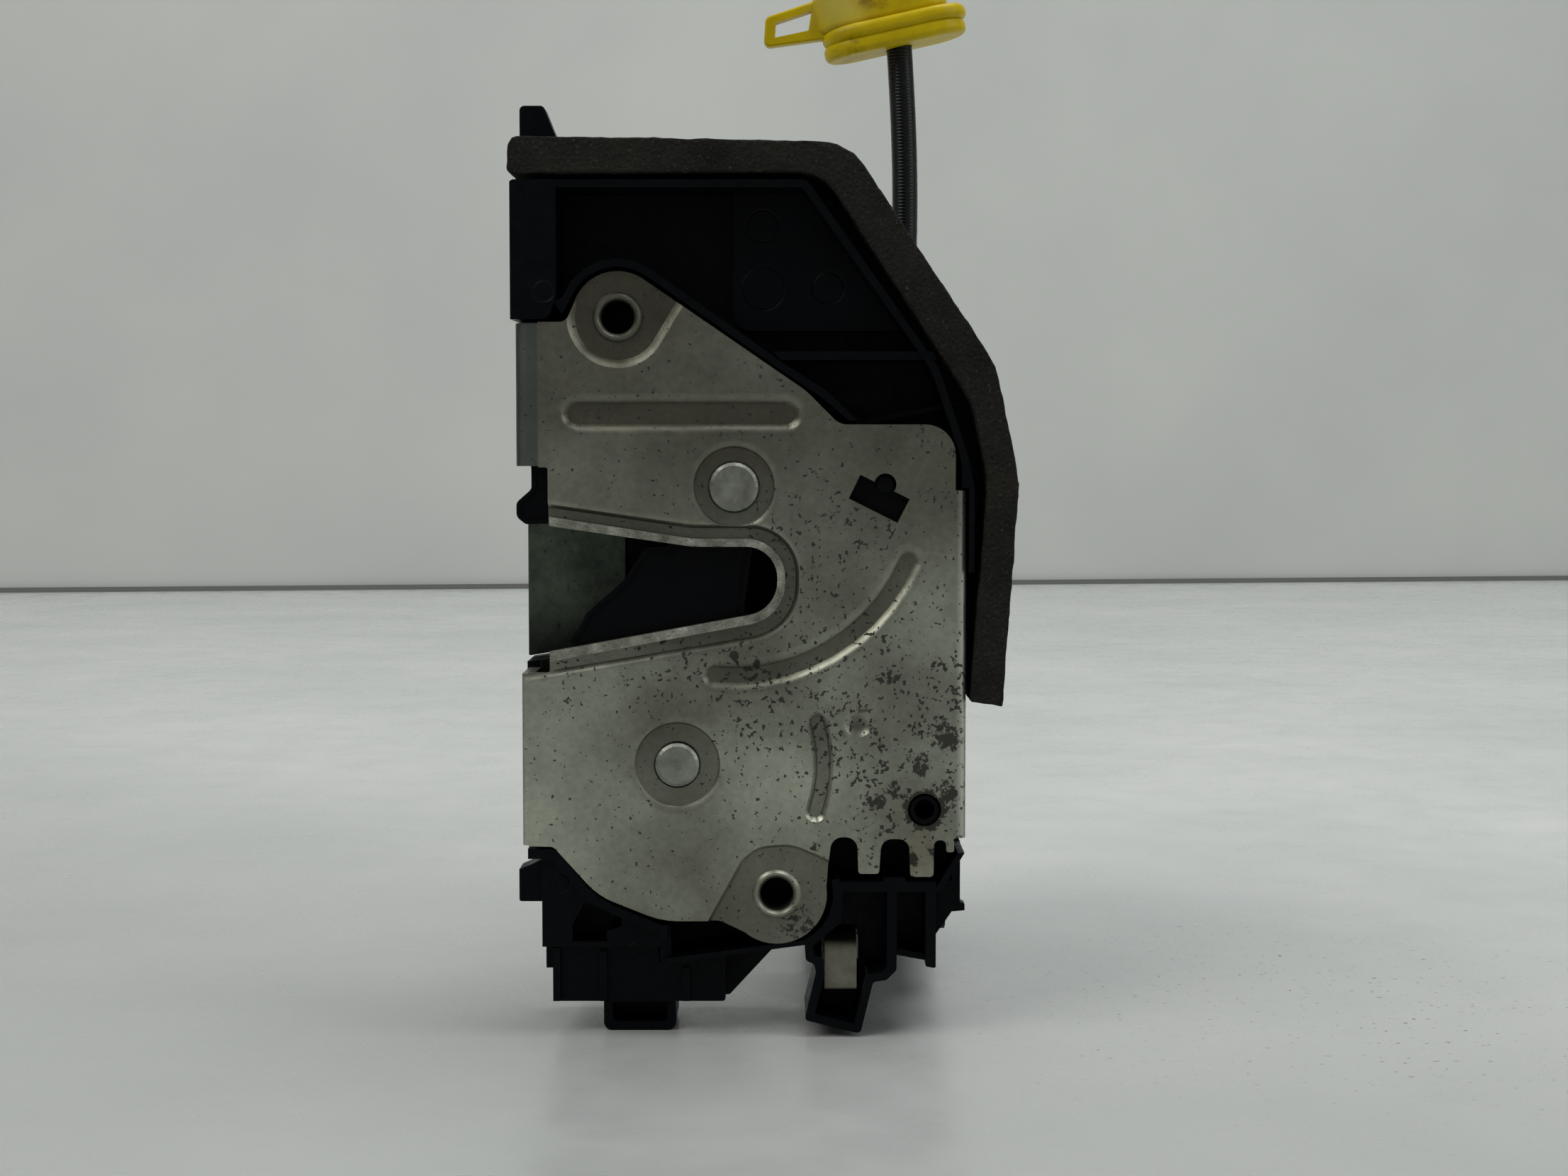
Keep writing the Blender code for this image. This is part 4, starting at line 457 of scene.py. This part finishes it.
def softenedCopy(node, look, width=0.25, segments=2, name=None, body="lock"):
    # The CAD node's own shape with its moulded or rolled edges rounded off
    shape = bmesh.new()
    shape.from_mesh(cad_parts[node].data)
    bmesh.ops.remove_doubles(shape, verts=shape.verts, dist=0.000005)
    bmesh.ops.dissolve_limit(shape, angle_limit=math.radians(0.5), verts=shape.verts, edges=shape.edges)
    edges = [edge for edge in shape.edges if len(edge.link_faces) == 2
             and edge.calc_face_angle(0.0) > math.radians(32)]
    bmesh.ops.bevel(shape, geom=edges, offset=width * mm, offset_type="OFFSET", affect="EDGES",
                    segments=segments, profile=0.5, clamp_overlap=True, material=-1)
    made = finishMesh(name or node + "Moulded", shape, look, 50.0)
    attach(made, body)
    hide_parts(node)
    return made


def arcPoints(centre, radius, start, end, step=8.0):
    count = max(2, math.ceil(abs(end - start) / step))
    angles = [math.radians(start + (end - start) * index / count) for index in range(count + 1)]
    return [(centre[0] + radius * math.cos(a), centre[1] + radius * math.sin(a)) for a in angles]


def filleted(corners):
    # Corners are (x, z) or (x, z, fillet radius)
    points = []
    for index, corner in enumerate(corners):
        here = Vector(corner[:2])
        back = Vector(corners[index - 1][:2]) - here
        ahead = Vector(corners[(index + 1) % len(corners)][:2]) - here
        if len(corner) < 3:
            points.append(tuple(here))
            continue
        half = back.angle(ahead) / 2
        along = min(corner[2] / math.tan(half), 0.49 * back.length, 0.49 * ahead.length)
        centre = here + (back.normalized() + ahead.normalized()).normalized() * along / math.cos(half)
        first = here + back.normalized() * along - centre
        last = here + ahead.normalized() * along - centre
        start = math.degrees(math.atan2(first.y, first.x))
        sweep = (math.degrees(math.atan2(last.y, last.x)) - start + 180) % 360 - 180
        points += arcPoints(centre, first.length, start, start + sweep)
    return points


def flatOutline(corners, y):
    shape = bmesh.new()
    face = shape.faces.new([shape.verts.new((x, y, z)) for x, z in filleted(corners)])
    return shape, face


def asObject(name, shape):
    bmesh.ops.recalc_face_normals(shape, faces=shape.faces)
    mesh = bpy.data.meshes.new(name)
    shape.to_mesh(mesh)
    shape.free()
    made = bpy.data.objects.new(name, mesh)
    bpy.context.scene.collection.objects.link(made)
    return made


def extruded(name, corners, low, high, rimRadius=0.0):
    shape, face = flatOutline(corners, low)
    moved = bmesh.ops.extrude_face_region(shape, geom=[face])
    bmesh.ops.translate(shape, vec=(0, high - low, 0),
                        verts=[v for v in moved["geom"] if isinstance(v, bmesh.types.BMVert)])
    if rimRadius:
        bmesh.ops.recalc_face_normals(shape, faces=shape.faces)
        rims = [edge for edge in shape.edges if edge.calc_face_angle(0.0) > math.radians(60)]
        bmesh.ops.bevel(shape, geom=rims, offset=rimRadius, offset_type="OFFSET", affect="EDGES", segments=4,
                        profile=0.5, clamp_overlap=True, material=-1)
    return asObject(name, shape)


def roundBar(start, end, radius):
    return arcPoints(end, radius, -90, 90) + arcPoints(start, radius, 90, 270)


def carve(target, *steps):
    # Each step is "cut" or "join" with its tools
    tools = []
    for operation, *pieces in steps:
        for tool in pieces:
            change = target.modifiers.new(tool.name, "BOOLEAN")
            change.operation = "DIFFERENCE" if operation == "cut" else "UNION"
            change.object = tool
            tools.append(tool)
    graph = bpy.context.evaluated_depsgraph_get()
    shape = bmesh.new()
    shape.from_mesh(target.evaluated_get(graph).to_mesh())
    for done in (target, *tools):
        bpy.data.objects.remove(done, do_unlink=True)
    return shape


# Camera first, then the cable

cameraSettings = {"eye": (8.2, -400.0, 7.4), "tilt": 3.43, "focalPixels": 3445.0, "imageWidth": 2212.0}
camera = bpy.data.objects.new("camera", bpy.data.cameras.new("camera"))
bpy.context.scene.collection.objects.link(camera)
camera.location = lockPoint(*cameraSettings["eye"])
camera.rotation_euler = (math.radians(90 - cameraSettings["tilt"]), 0, 0)
camera.data.sensor_width = 36.0
camera.data.lens = 36.0 * cameraSettings["focalPixels"] / cameraSettings["imageWidth"]
camera.data.clip_start = 0.01
camera.data.clip_end = 20.0
bpy.context.scene.camera = camera

# The same route as the model's own cable
cable = {"start": (31.4, 85.0, 30.6), "end": (30.8, 85.0, 85.0), "bow": 0.9, "diameter": 5.0, "points": 25}


def makeCable():
    curve = bpy.data.curves.new("handleCable", "CURVE")
    curve.dimensions = "3D"
    curve.bevel_depth = cable["diameter"] / 2 * mm
    curve.bevel_resolution = 6
    curve.use_fill_caps = True
    spline = curve.splines.new("POLY")
    spline.points.add(cable["points"] - 1)
    start, end = Vector(cable["start"]), Vector(cable["end"])
    for index, point in enumerate(spline.points):
        share = index / (cable["points"] - 1)
        place = start.lerp(end, share)
        place.x += cable["bow"] * math.sin(math.pi * share)
        point.co = (*lockPoint(*place), 1.0)
    spline.use_smooth = True
    made = bpy.data.objects.new("handleCable", curve)
    curve.materials.append(looks["sheath"])
    bpy.context.scene.collection.objects.link(made)
    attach(made, "lock")
    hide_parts("cable_sheath")
    return made


holder = {
    "centre": (30.5, 85.0, 85.0), "tilt": 12.5, "rimRadius": 1.2, "edgeRadius": 0.3,
    "bore": 2.6, "boreDepth": (-6.0, 1.0),
    # Each layer: left and right end, radius, bottom, top
    "layers": {"dish": (-7.8, 7.2, 6.6, -0.6, 2.6), "flange": (-7.2, 7.4, 7.0, 2.2, 5.2),
               "hub": (-9.6, 6.0, 5.2, 5.0, 12.5), "collar": (4.2, 5.6, 2.6, 12.0, 15.7)},
    "loop": [(4.2, 84.4, 1.2), (17.5, 86.2), (17.5, 94.6), (4.6, 90.3, 1.2)],
    "loopDepth": (83.4, 86.6), "loopRim": 0.5,
    "window": [(6.4, 86.3), (13.0, 87.7), (13.6, 91.5), (6.6, 89.2)], "windowDepth": (80.0, 90.0),
}


def makeHolder():
    # One moulding: an oval dish under a flange, a hub on top and a pull loop at the left
    upright = Matrix.Rotation(math.radians(90), 4, "X")
    tilt = Matrix.Rotation(math.radians(-holder["tilt"]), 4, "Y")
    layers = []
    for name, (left, right, radius, low, high) in holder["layers"].items():
        layer = extruded(name, roundBar((left, 0), (right, 0), radius), low, high, holder["rimRadius"])
        layer.data.transform(Matrix.Translation(holder["centre"]) @ tilt @ upright)
        layers.append(layer)
    loop = extruded("loop", holder["loop"], *holder["loopDepth"], holder["loopRim"])
    window = extruded("window", holder["window"], *holder["windowDepth"])
    bore = extruded("bore", arcPoints((0, 0), holder["bore"], 0, 352), *holder["boreDepth"])
    bore.data.transform(Matrix.Translation((cable["end"][0], *holder["centre"][1:])) @ upright)
    shape = carve(layers[0], ("join", *layers[1:], loop), ("cut", window, bore))
    bmesh.ops.remove_doubles(shape, verts=shape.verts, dist=0.002)
    bmesh.ops.dissolve_limit(shape, angle_limit=math.radians(0.5), verts=shape.verts, edges=shape.edges)
    edges = [e for e in shape.edges if len(e.link_faces) == 2 and e.calc_face_angle(0.0) > math.radians(32)]
    bmesh.ops.bevel(shape, geom=edges, offset=holder["edgeRadius"], offset_type="OFFSET", affect="EDGES",
                    segments=2, profile=0.5, clamp_overlap=True, material=-1)
    bmesh.ops.transform(shape, matrix=Matrix.Scale(mm, 4) @ Matrix.Translation(pivotPlace), verts=shape.verts)
    made = finishMesh("cableHolder", shape, "yellow", 50.0)
    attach(made, "lock")
    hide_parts("cable_fitting")
    return made


handleCable = makeCable()
fitting = makeHolder()
nipple = softenedCopy("cable_nipple", "steel", 0.2, 2, "cableNipple")
print("camera and cable")


# The face plate: a pressed blank with sloped beads, pads and channels

punchStart = 0.6  # how far over the sheet a punch begins


def pressed(name, corners, depth, halo, haloDepth, slope):
    # A press tool's punch: the plate first dips softly over the halo, then drops down the slope
    shape, face = flatOutline(corners, -punchStart)
    moved = bmesh.ops.extrude_face_region(shape, geom=[face])["geom"]
    bmesh.ops.translate(shape, vec=(0, punchStart, 0),
                        verts=[v for v in moved if isinstance(v, bmesh.types.BMVert)])
    end = [f for f in moved if isinstance(f, bmesh.types.BMFace)]
    bmesh.ops.recalc_face_normals(shape, faces=shape.faces)
    steps = ((halo / 2, haloDepth * 0.25), (halo / 2, haloDepth * 0.75), (slope, depth - haloDepth))
    for thickness, drop in steps:
        bmesh.ops.inset_region(shape, faces=end, thickness=thickness, depth=drop, use_even_offset=True,
                               use_boundary=True)
    return asObject(name, shape)


def spunTool(name, profile, x, z, steps=48):
    shape = bmesh.new()
    corners = [shape.verts.new((radius, y, 0)) for radius, y in profile]
    sides = [shape.edges.new(pair) for pair in zip(corners, corners[1:])]
    bmesh.ops.spin(shape, geom=corners + sides, cent=(0, 0, 0), axis=(0, 1, 0), angle=2 * math.pi,
                   steps=steps, use_merge=True)
    bmesh.ops.remove_doubles(shape, verts=shape.verts, dist=0.0001)
    bmesh.ops.translate(shape, vec=(x, 0, z), verts=shape.verts)
    return asObject(name, shape)


plate = {
    "thickness": 2.0, "depth": 1.0, "halo": 1.1, "haloDepth": 0.3, "padRadius": 8.8, "slope": 0.75,
    "lip": 1.3, "channel": 2.5, "edgeRadius": 0.16, "foldDepth": 13.0,
    "left": -35.0, "bendLeft": -35.8, "right": 38.2,
    "upperBore": (-19.0, 27.7), "lowerBore": (7.0, -67.4), "thirdBore": (31.4, -53.3),
    "pawlRivet": (-9.4, -45.8), "boreRadius": 2.75,
}


def mouthOutline(by=0.0, left=-44.0):
    # The striker's way in, widened by a distance; both sides spread toward the left
    out = left + 30.3
    return [(left, -6.2 + by - out * 0.13), (-6.8, -9.8 + by, 20.0), (7.1 + by, -9.8 + by, 5.2 + by),
            (7.1 + by, -20.2 - by, 5.6 + by), (left, -27.4 - by + out * 0.16)]


def arcBand(centre, inner, outer, start, end):
    half = (outer - inner) / 2
    middle = (inner + outer) / 2
    tipStart, tipEnd = (arcPoints(centre, middle, start, end)[i] for i in (0, -1))
    return (arcPoints(centre, outer, start, end) + arcPoints(tipEnd, half, end, end + 180)[1:-1]
            + arcPoints(centre, inner, end, start)
            + arcPoints(tipStart, half, start + 180, start + 360)[1:-1])


def makeFold(name, edge, low, high, radius):
    # A side flange: the blank's edge bent back round a soft corner
    toward = 1 if edge < 0 else -1
    thick = plate["thickness"]
    inner = edge + toward * thick
    section = filleted([(inner + toward * 2.5, 0.02), (edge, 0.02, radius), (edge, plate["foldDepth"]),
                        (inner, plate["foldDepth"]), (inner, thick - 0.02, 0.6),
                        (inner + toward * 2.5, thick - 0.02)])
    shape = bmesh.new()
    face = shape.faces.new([shape.verts.new((x, y, low)) for x, y in section])
    moved = bmesh.ops.extrude_face_region(shape, geom=[face])["geom"]
    bmesh.ops.translate(shape, vec=(0, 0, high - low),
                        verts=[v for v in moved if isinstance(v, bmesh.types.BMVert)])
    return asObject(name, shape)


def insideOutline(x, z, outline):
    inside = False
    for (x1, z1), (x2, z2) in zip(outline, outline[1:] + outline[:1]):
        if (z1 > z) != (z2 > z) and x < x1 + (z - z1) * (x2 - x1) / (z2 - z1):
            inside = not inside
    return inside


def makePlate():
    upper, lower, third, rivet = (plate[key] for key in ("upperBore", "lowerBore", "thirdBore", "pawlRivet"))
    keys = ("thickness", "depth", "halo", "haloDepth", "slope")
    thick, depth, halo, dip, slope = (plate[key] for key in keys)
    left, right = plate["left"] + 1.0, plate["right"] - 1.9
    outline = [
        (-32.0, 26.9), (-27.4, 26.9, 1.6), *arcPoints(upper, 7.5, 165, 56),
        (11.8, 15.7, 8.0), (17.3, 10.2, 3.0), (right, 10.2, 5.0), (right, -60.3, 0.4), (35.0, -60.3, 0.4),
        (35.0, -58.3, 0.9), (33.0, -58.3, 0.9), (32.9, -64.4, 0.6), (29.1, -64.4, 0.6), (28.9, -58.1, 1.9),
        (24.3, -58.1, 1.9), (23.9, -63.9, 0.5), (20.5, -63.9, 0.5), (20.3, -57.8, 2.0), (16.1, -57.8, 2.0),
        (15.5, -62.5, 1.0), *arcPoints(lower, 8.3, 8, -130), (-2.4, -71.8, 3.0), (-12.0, -71.8, 14.0),
        (-22.5, -67.6, 12.0), (-29.9, -59.4, 1.2), (left, -59.3), (left, -30.6), (-30.4, -30.6, 0.4),
        (-30.5, 3.2, 0.4), (-32.0, 3.2),
    ]
    blank = extruded("blank", outline, 0.0, thick)
    upperPad = [*arcPoints(upper, plate["padRadius"], 168, 322), (-7.6, 29.6), (-3.0, 37.0), (-29.0, 40.0)]
    lowerPad = [(-5.0, -72.2), (0.9, -61.4, 3.0), (3.8, -59.0, 6.0), (9.6, -58.6, 8.0), (14.5, -60.7, 6.0),
                (20.0, -63.5), (20.0, -82.0), (-5.0, -82.0)]
    punches = [
        pressed("upperPadPunch", upperPad, depth, 0.5, 0.06, 1.3),
        pressed("lowerPadPunch", lowerPad, depth - 0.3, 0.3, 0.05, 0.5),
        pressed("beadPunch", roundBar((-25.7, 11.9), (8.5, 11.9), 2.4 + halo), depth, halo, dip, slope),
        pressed("sweepPunch", arcBand((0, 0), 29.2 - halo, 33.0 + halo, -96, -23), depth - 0.1,
                halo, dip, 0.7),
        pressed("uprightPunch", arcBand(rivet, 22.4 - 0.5, 25.8 + 0.5, -19, 17), depth - 0.1,
                0.5, 0.05, slope),
        pressed("catchRing", arcPoints((0, 0), 6.7 + halo, 0, 352), 0.7, halo, dip, 0.3),
        pressed("pawlRing", arcPoints(rivet, 7.1 + halo, 0, 352), 0.7, halo, dip, 0.3),
        spunTool("dimplePunch", [(0, 0.75), (1.1, 0.62), (1.9, 0.3), (2.35, 0.0), (2.35, -0.6), (0, -0.6)],
                 20.4, -38.9),
    ]
    channelOutline = mouthOutline(plate["lip"] + plate["channel"] + 0.6)
    channel = pressed("channelPunch", channelOutline, depth, 0.8, 0.2, 0.6)
    lip = extruded("mouthLip", mouthOutline(plate["lip"], -30.25), 0.05, thick - 0.05)
    boreLips = [spunTool("boreLip", [(0, 1.9), (4.1, 1.9), (4.1, 0.75), (3.6, 0.12), (0, 0.12)], *at)
                for at in (upper, lower)]
    threads = [spunTool("thread", [(0, 7.0), (4.3, 7.0), (4.3, 1.0), (0, 1.0)], *at) for at in (upper, lower)]
    bore = plate["boreRadius"]
    boreProfile = [(0, 9.0), (bore, 9.0), (bore, 0.75), (bore + 0.7, -0.1), (bore + 0.7, -1.0), (0, -1.0)]
    bores = [spunTool("bore", boreProfile, *at) for at in (upper, lower)]
    holes = [spunTool("hole", [(0, 3.0), (radius, 3.0), (radius, -1.0), (0, -1.0)], *at)
             for at, radius in ((third, bore), ((0, 0), 4.3), (rivet, 3.9), ((24.8, 0.4), 1.8))]
    tilted = [(20.7, 2.0), (18.8, -1.9), (26.8, -5.9), (28.8, -2.0)]
    tiltedHole = extruded("tiltedHole", tilted, -1.0, thick + 1.0)
    shape = carve(
        blank,
        ("join", makeFold("foldUpperLeft", plate["bendLeft"], 3.4, 26.7, 3.0),
         makeFold("foldLowerLeft", plate["left"], -59.2, -30.8, 1.4),
         makeFold("foldRight", plate["right"], -58.0, -0.6, 1.4)),
        ("cut", channel), ("join", lip),
        ("cut", *punches), ("join", *boreLips, *threads), ("cut", *bores, *holes),
        ("cut", extruded("mouthCut", mouthOutline(), -1.0, thick + 1.0), tiltedHole))
    bmesh.ops.remove_doubles(shape, verts=shape.verts, dist=0.002)
    bmesh.ops.dissolve_limit(shape, angle_limit=math.radians(0.5), verts=shape.verts, edges=shape.edges)
    edges = [e for e in shape.edges if len(e.link_faces) == 2 and e.calc_face_angle(0.0) > math.radians(24)]
    bevelled = bmesh.ops.bevel(shape, geom=edges, offset=plate["edgeRadius"], offset_type="OFFSET",
                               affect="EDGES", segments=2, profile=0.5, clamp_overlap=True, material=-1)
    edgeFaces = bevelled["faces"]
    lipSpan = filleted(mouthOutline(plate["lip"] + 0.15, -30.6))
    for face in shape.faces:
        if all(v.co.y < 0.35 and insideOutline(v.co.x, v.co.z, lipSpan) for v in face.verts):
            face.material_index = 1
    for face in edgeFaces:
        if face.is_valid and face.calc_center_median().y < 1.3:
            face.material_index = 1
    bmesh.ops.transform(shape, matrix=Matrix.Scale(mm, 4) @ Matrix.Translation(pivotPlace), verts=shape.verts)
    made = finishMesh("facePlate", shape, "zinc", 50.0)
    made.data.materials.append(looks["zincWorn"])
    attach(made, "lock")
    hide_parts("lock_plate")
    return made


makePlate()
print("face plate")


# Moulded and pressed pieces

softened = {
    "back_plate": ("phosphated", 0.2, 1), "striker_guard": ("zincGuard", 0.2, 1),
    "lock_case": ("casePlastic", 0.25, 2), "connector_box": ("casePlastic", 0.3, 2),
    "actuator_case": ("drivePlastic", 0.4, 2), "actuator_cover": ("drivePlastic", 0.35, 2),
    "rear_bush": ("drivePlastic", 0.2, 2), "catch_switch": ("drivePlastic", 0.25, 2),
    "cable_ferrule": ("rubber", 0.4, 2), "throat_bumper": ("rubber", 0.4, 2),
}
for node, (look, width, segments) in softened.items():
    softenedCopy(node, look, width, segments)
moving = {
    "catch_jacket": ("catchPlastic", 0.3, "catch"),
    "outside_handle_lever": ("nylon", 0.3, "outside_handle_lever"),
    "inside_handle_lever": ("zincPlain", 0.2, "inside_handle_lever"),
}
for node, (look, width, body) in moving.items():
    softenedCopy(node, look, width, 2, body=body)
print("moulded and pressed pieces")

plain = {
    "steel": ["catch_core", "pawl", "release_lever", "catch_spring", "pawl_spring", "lock_motor", "wheel_axle",
              "lock_lever_axle", "outside_lever_axle", "inside_lever_axle", "cover_screw_1", "cover_screw_2",
              "cover_screw_3", "cover_screw_4", "case_screw_1", "case_screw_2"],
    "rivet": ["catch_pivot", "pawl_pivot", "release_pivot"],
    "drivePlastic": ["pawl_switch"],
    "nylon": ["worm_wheel", "lock_lever"],
    "brass": ["worm", "connector_header"],
}
for look, nodes in plain.items():
    for node in nodes:
        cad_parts[node].material_slots[0].material = looks[look]

foamSize = {"step": 1.4, "rim": 0.9, "swell": 0.12, "nicks": 0.16, "shrink": 0.15}


def makeFoamSeal():
    shape = bmesh.new()
    shape.from_mesh(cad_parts["foam_seal"].data)
    bmesh.ops.remove_doubles(shape, verts=shape.verts, dist=0.000005)
    bmesh.ops.dissolve_limit(shape, angle_limit=math.radians(0.5), verts=shape.verts, edges=shape.edges)
    bmesh.ops.bevel(shape, geom=[e for e in shape.edges if e.calc_face_angle(0.0) > math.radians(50)],
                    offset=foamSize["rim"] * mm, offset_type="OFFSET", affect="EDGES", segments=2, profile=0.5,
                    clamp_overlap=True, material=-1)
    low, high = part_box("foam_seal")
    for axis, normal in ((0, (1, 0, 0)), (2, (0, 0, 1)), (1, (0, 1, 0))):
        cuts = int((high[axis] - low[axis]) / (foamSize["step"] * mm))
        for index in range(1, cuts):
            point = Vector(low)
            point[axis] = low[axis] + (high[axis] - low[axis]) * index / cuts
            bmesh.ops.bisect_plane(shape, geom=shape.verts[:] + shape.edges[:] + shape.faces[:],
                                   plane_co=point, plane_no=normal, dist=0.00001)
    bmesh.ops.triangulate(shape, faces=shape.faces)
    shape.normal_update()
    for vert in shape.verts:
        place = vert.co / mm
        swell = noise.noise(place * 0.35) * foamSize["swell"] + noise.noise(place * 1.6) * foamSize["nicks"]
        vert.co += vert.normal * (swell - foamSize["shrink"]) * mm
    made = finishMesh("foamSeal", shape, "foam", 180.0)
    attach(made, "lock")
    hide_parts("foam_seal")
    return made


makeFoamSeal()
print("foam seal")


# Floor, wall and light

stage = {
    "floor": [(-3, -2.5, 0), (3, -2.5, 0), (3, 1.9, 0), (-3, 1.5, 0)],
    "wall": [(-3, 0.813, 0), (3, 1.622, 0), (3, 1.622, 3), (-3, 0.813, 3)],
    "shadowFoot": 0.0002, "shadowHeight": 0.0035, "shadowFront": 0.004,
}


def makeFloorPaint():
    # Painted bench top: satin white, worn in clouds 110 mm wide, with crumbs of dirt about 1.5 mm
    made, tree, shader, place = startMaterial("PaintedBench", IOR=1.45)
    axes = addNode(tree, "SeparateXYZ", give="all", n0=place)
    clouds = addNode(tree, "TexNoise", Vector=place, Scale=9.0, Detail=4.0, Roughness=0.6)
    colour = addNode(tree, "ValToRGB", {"stops": ((0.35, "#CBCECC"), (0.65, "#D6D8D6"))}, Fac=clouds)
    # Painted shade: darker at the front and the left, where less light falls
    slanted = addNode(tree, "Math", times, n0=axes[0], n1=-0.6)
    slanted = addNode(tree, "Math", minus, n0=axes[1], n1=slanted)
    near = addNode(tree, "MapRange", smooth, Value=slanted, From_Min=-0.1, From_Max=0.3,
                   To_Min=0.42, To_Max=0.0)
    colour = addNode(tree, "Mix", colourMix, 2, n0=near, n6=colour, n7="#7D807D")
    crumbs = addNode(tree, "TexNoise", Vector=place, Scale=600.0, Detail=3.0, Roughness=0.6)
    away = reach(tree, place, (0.1, -0.02, 0), (1, 1, 0))
    crowd = addNode(tree, "MapRange", smooth, Value=away, From_Min=10.0, From_Max=110.0,
                    To_Min=0.85, To_Max=0.05)
    crumbs = addNode(tree, "Math", times, n0=above(tree, crumbs, 0.65, 30.0), n1=crowd)
    colour = addNode(tree, "Mix", colourMix, 2, n0=crumbs, n6=colour, n7="#5C4A40")
    worn = addNode(tree, "TexNoise", Vector=place, Scale=60.0, Detail=4.0, Roughness=0.55)
    rough = addNode(tree, "MapRange", smooth, Value=worn, From_Min=0.3, From_Max=0.7,
                    To_Min=0.24, To_Max=0.4)
    setShader(tree, shader, Base_Color=colour, Roughness=rough)
    return made


def makeWallPaint():
    # Matt wall paint, faintly clouded
    made, tree, shader, place = startMaterial("PaintedWall", Roughness=0.7)
    clouds = addNode(tree, "TexNoise", Vector=place, Scale=6.0, Detail=3.0, Roughness=0.55)
    colour = addNode(tree, "ValToRGB", {"stops": ((0.3, "#C5C7C3"), (0.7, "#CED0CB"))}, Fac=clouds)
    setShader(tree, shader, Base_Color=colour)
    return made


def makeStage():
    floorMaterial, wallMaterial = makeFloorPaint(), makeWallPaint()
    shadowStripMaterial = startMaterial("WallJointShade", Base_Color="#6E6F6B", Roughness=0.8)[0]
    # A thin dark strip of painted shadow in front of the wall's foot, where bench and wall meet
    ends = [(x, y - stage["shadowFront"]) for x, y, _ in stage["wall"][:2]]
    low, high = stage["shadowFoot"], stage["shadowHeight"]
    shadowStrip = [(*ends[0], low), (*ends[1], low), (*ends[1], high), (*ends[0], high)]
    surfaces = (("floor", floorMaterial, stage["floor"]), ("wall", wallMaterial, stage["wall"]),
                ("wallFootShadow", shadowStripMaterial, shadowStrip))
    for name, look, corners in surfaces:
        shape = bmesh.new()
        shape.faces.new([shape.verts.new(corner) for corner in corners])
        mesh = bpy.data.meshes.new(name)
        shape.to_mesh(mesh)
        shape.free()
        mesh.materials.append(look)
        made = bpy.data.objects.new(name, mesh)
        bpy.context.scene.collection.objects.link(made)


makeStage()

lampTarget = (0, 0, 0.08)
lamps = {
    "windowLeft": {"place": (-1.1, -0.9, 1.5), "size": 1.2, "watts": 13.5, "colour": (1.0, 0.98, 0.95)},
    "windowRight": {"place": (1.3, -0.5, 0.7), "size": 0.9, "watts": 3.5, "colour": (0.98, 0.99, 1.0)},
    "ceiling": {"place": (0.5, 0.1, 1.9), "size": 1.3, "watts": 21.5, "colour": (0.97, 0.99, 1.0)},
}
for name, values in lamps.items():
    lamp = bpy.data.lights.new(name, "AREA")
    lamp.size = values["size"]
    lamp.energy = values["watts"]
    lamp.color = values["colour"]
    stand = bpy.data.objects.new(name, lamp)
    stand.location = values["place"]
    aim = Vector(lampTarget) - Vector(values["place"])
    stand.rotation_euler = aim.to_track_quat("-Z", "Y").to_euler()
    bpy.context.scene.collection.objects.link(stand)

roomLight = {"colour": "#B9BCBC", "strength": 0.4}
world = bpy.data.worlds.new("room")
bpy.context.scene.world = world
world.use_nodes = True
background = world.node_tree.nodes["Background"]
background.inputs["Color"].default_value = linearHex(roomLight["colour"])
background.inputs["Strength"].default_value = roomLight["strength"]
bpy.context.scene.view_settings.view_transform = "Standard"
print("stage and light")
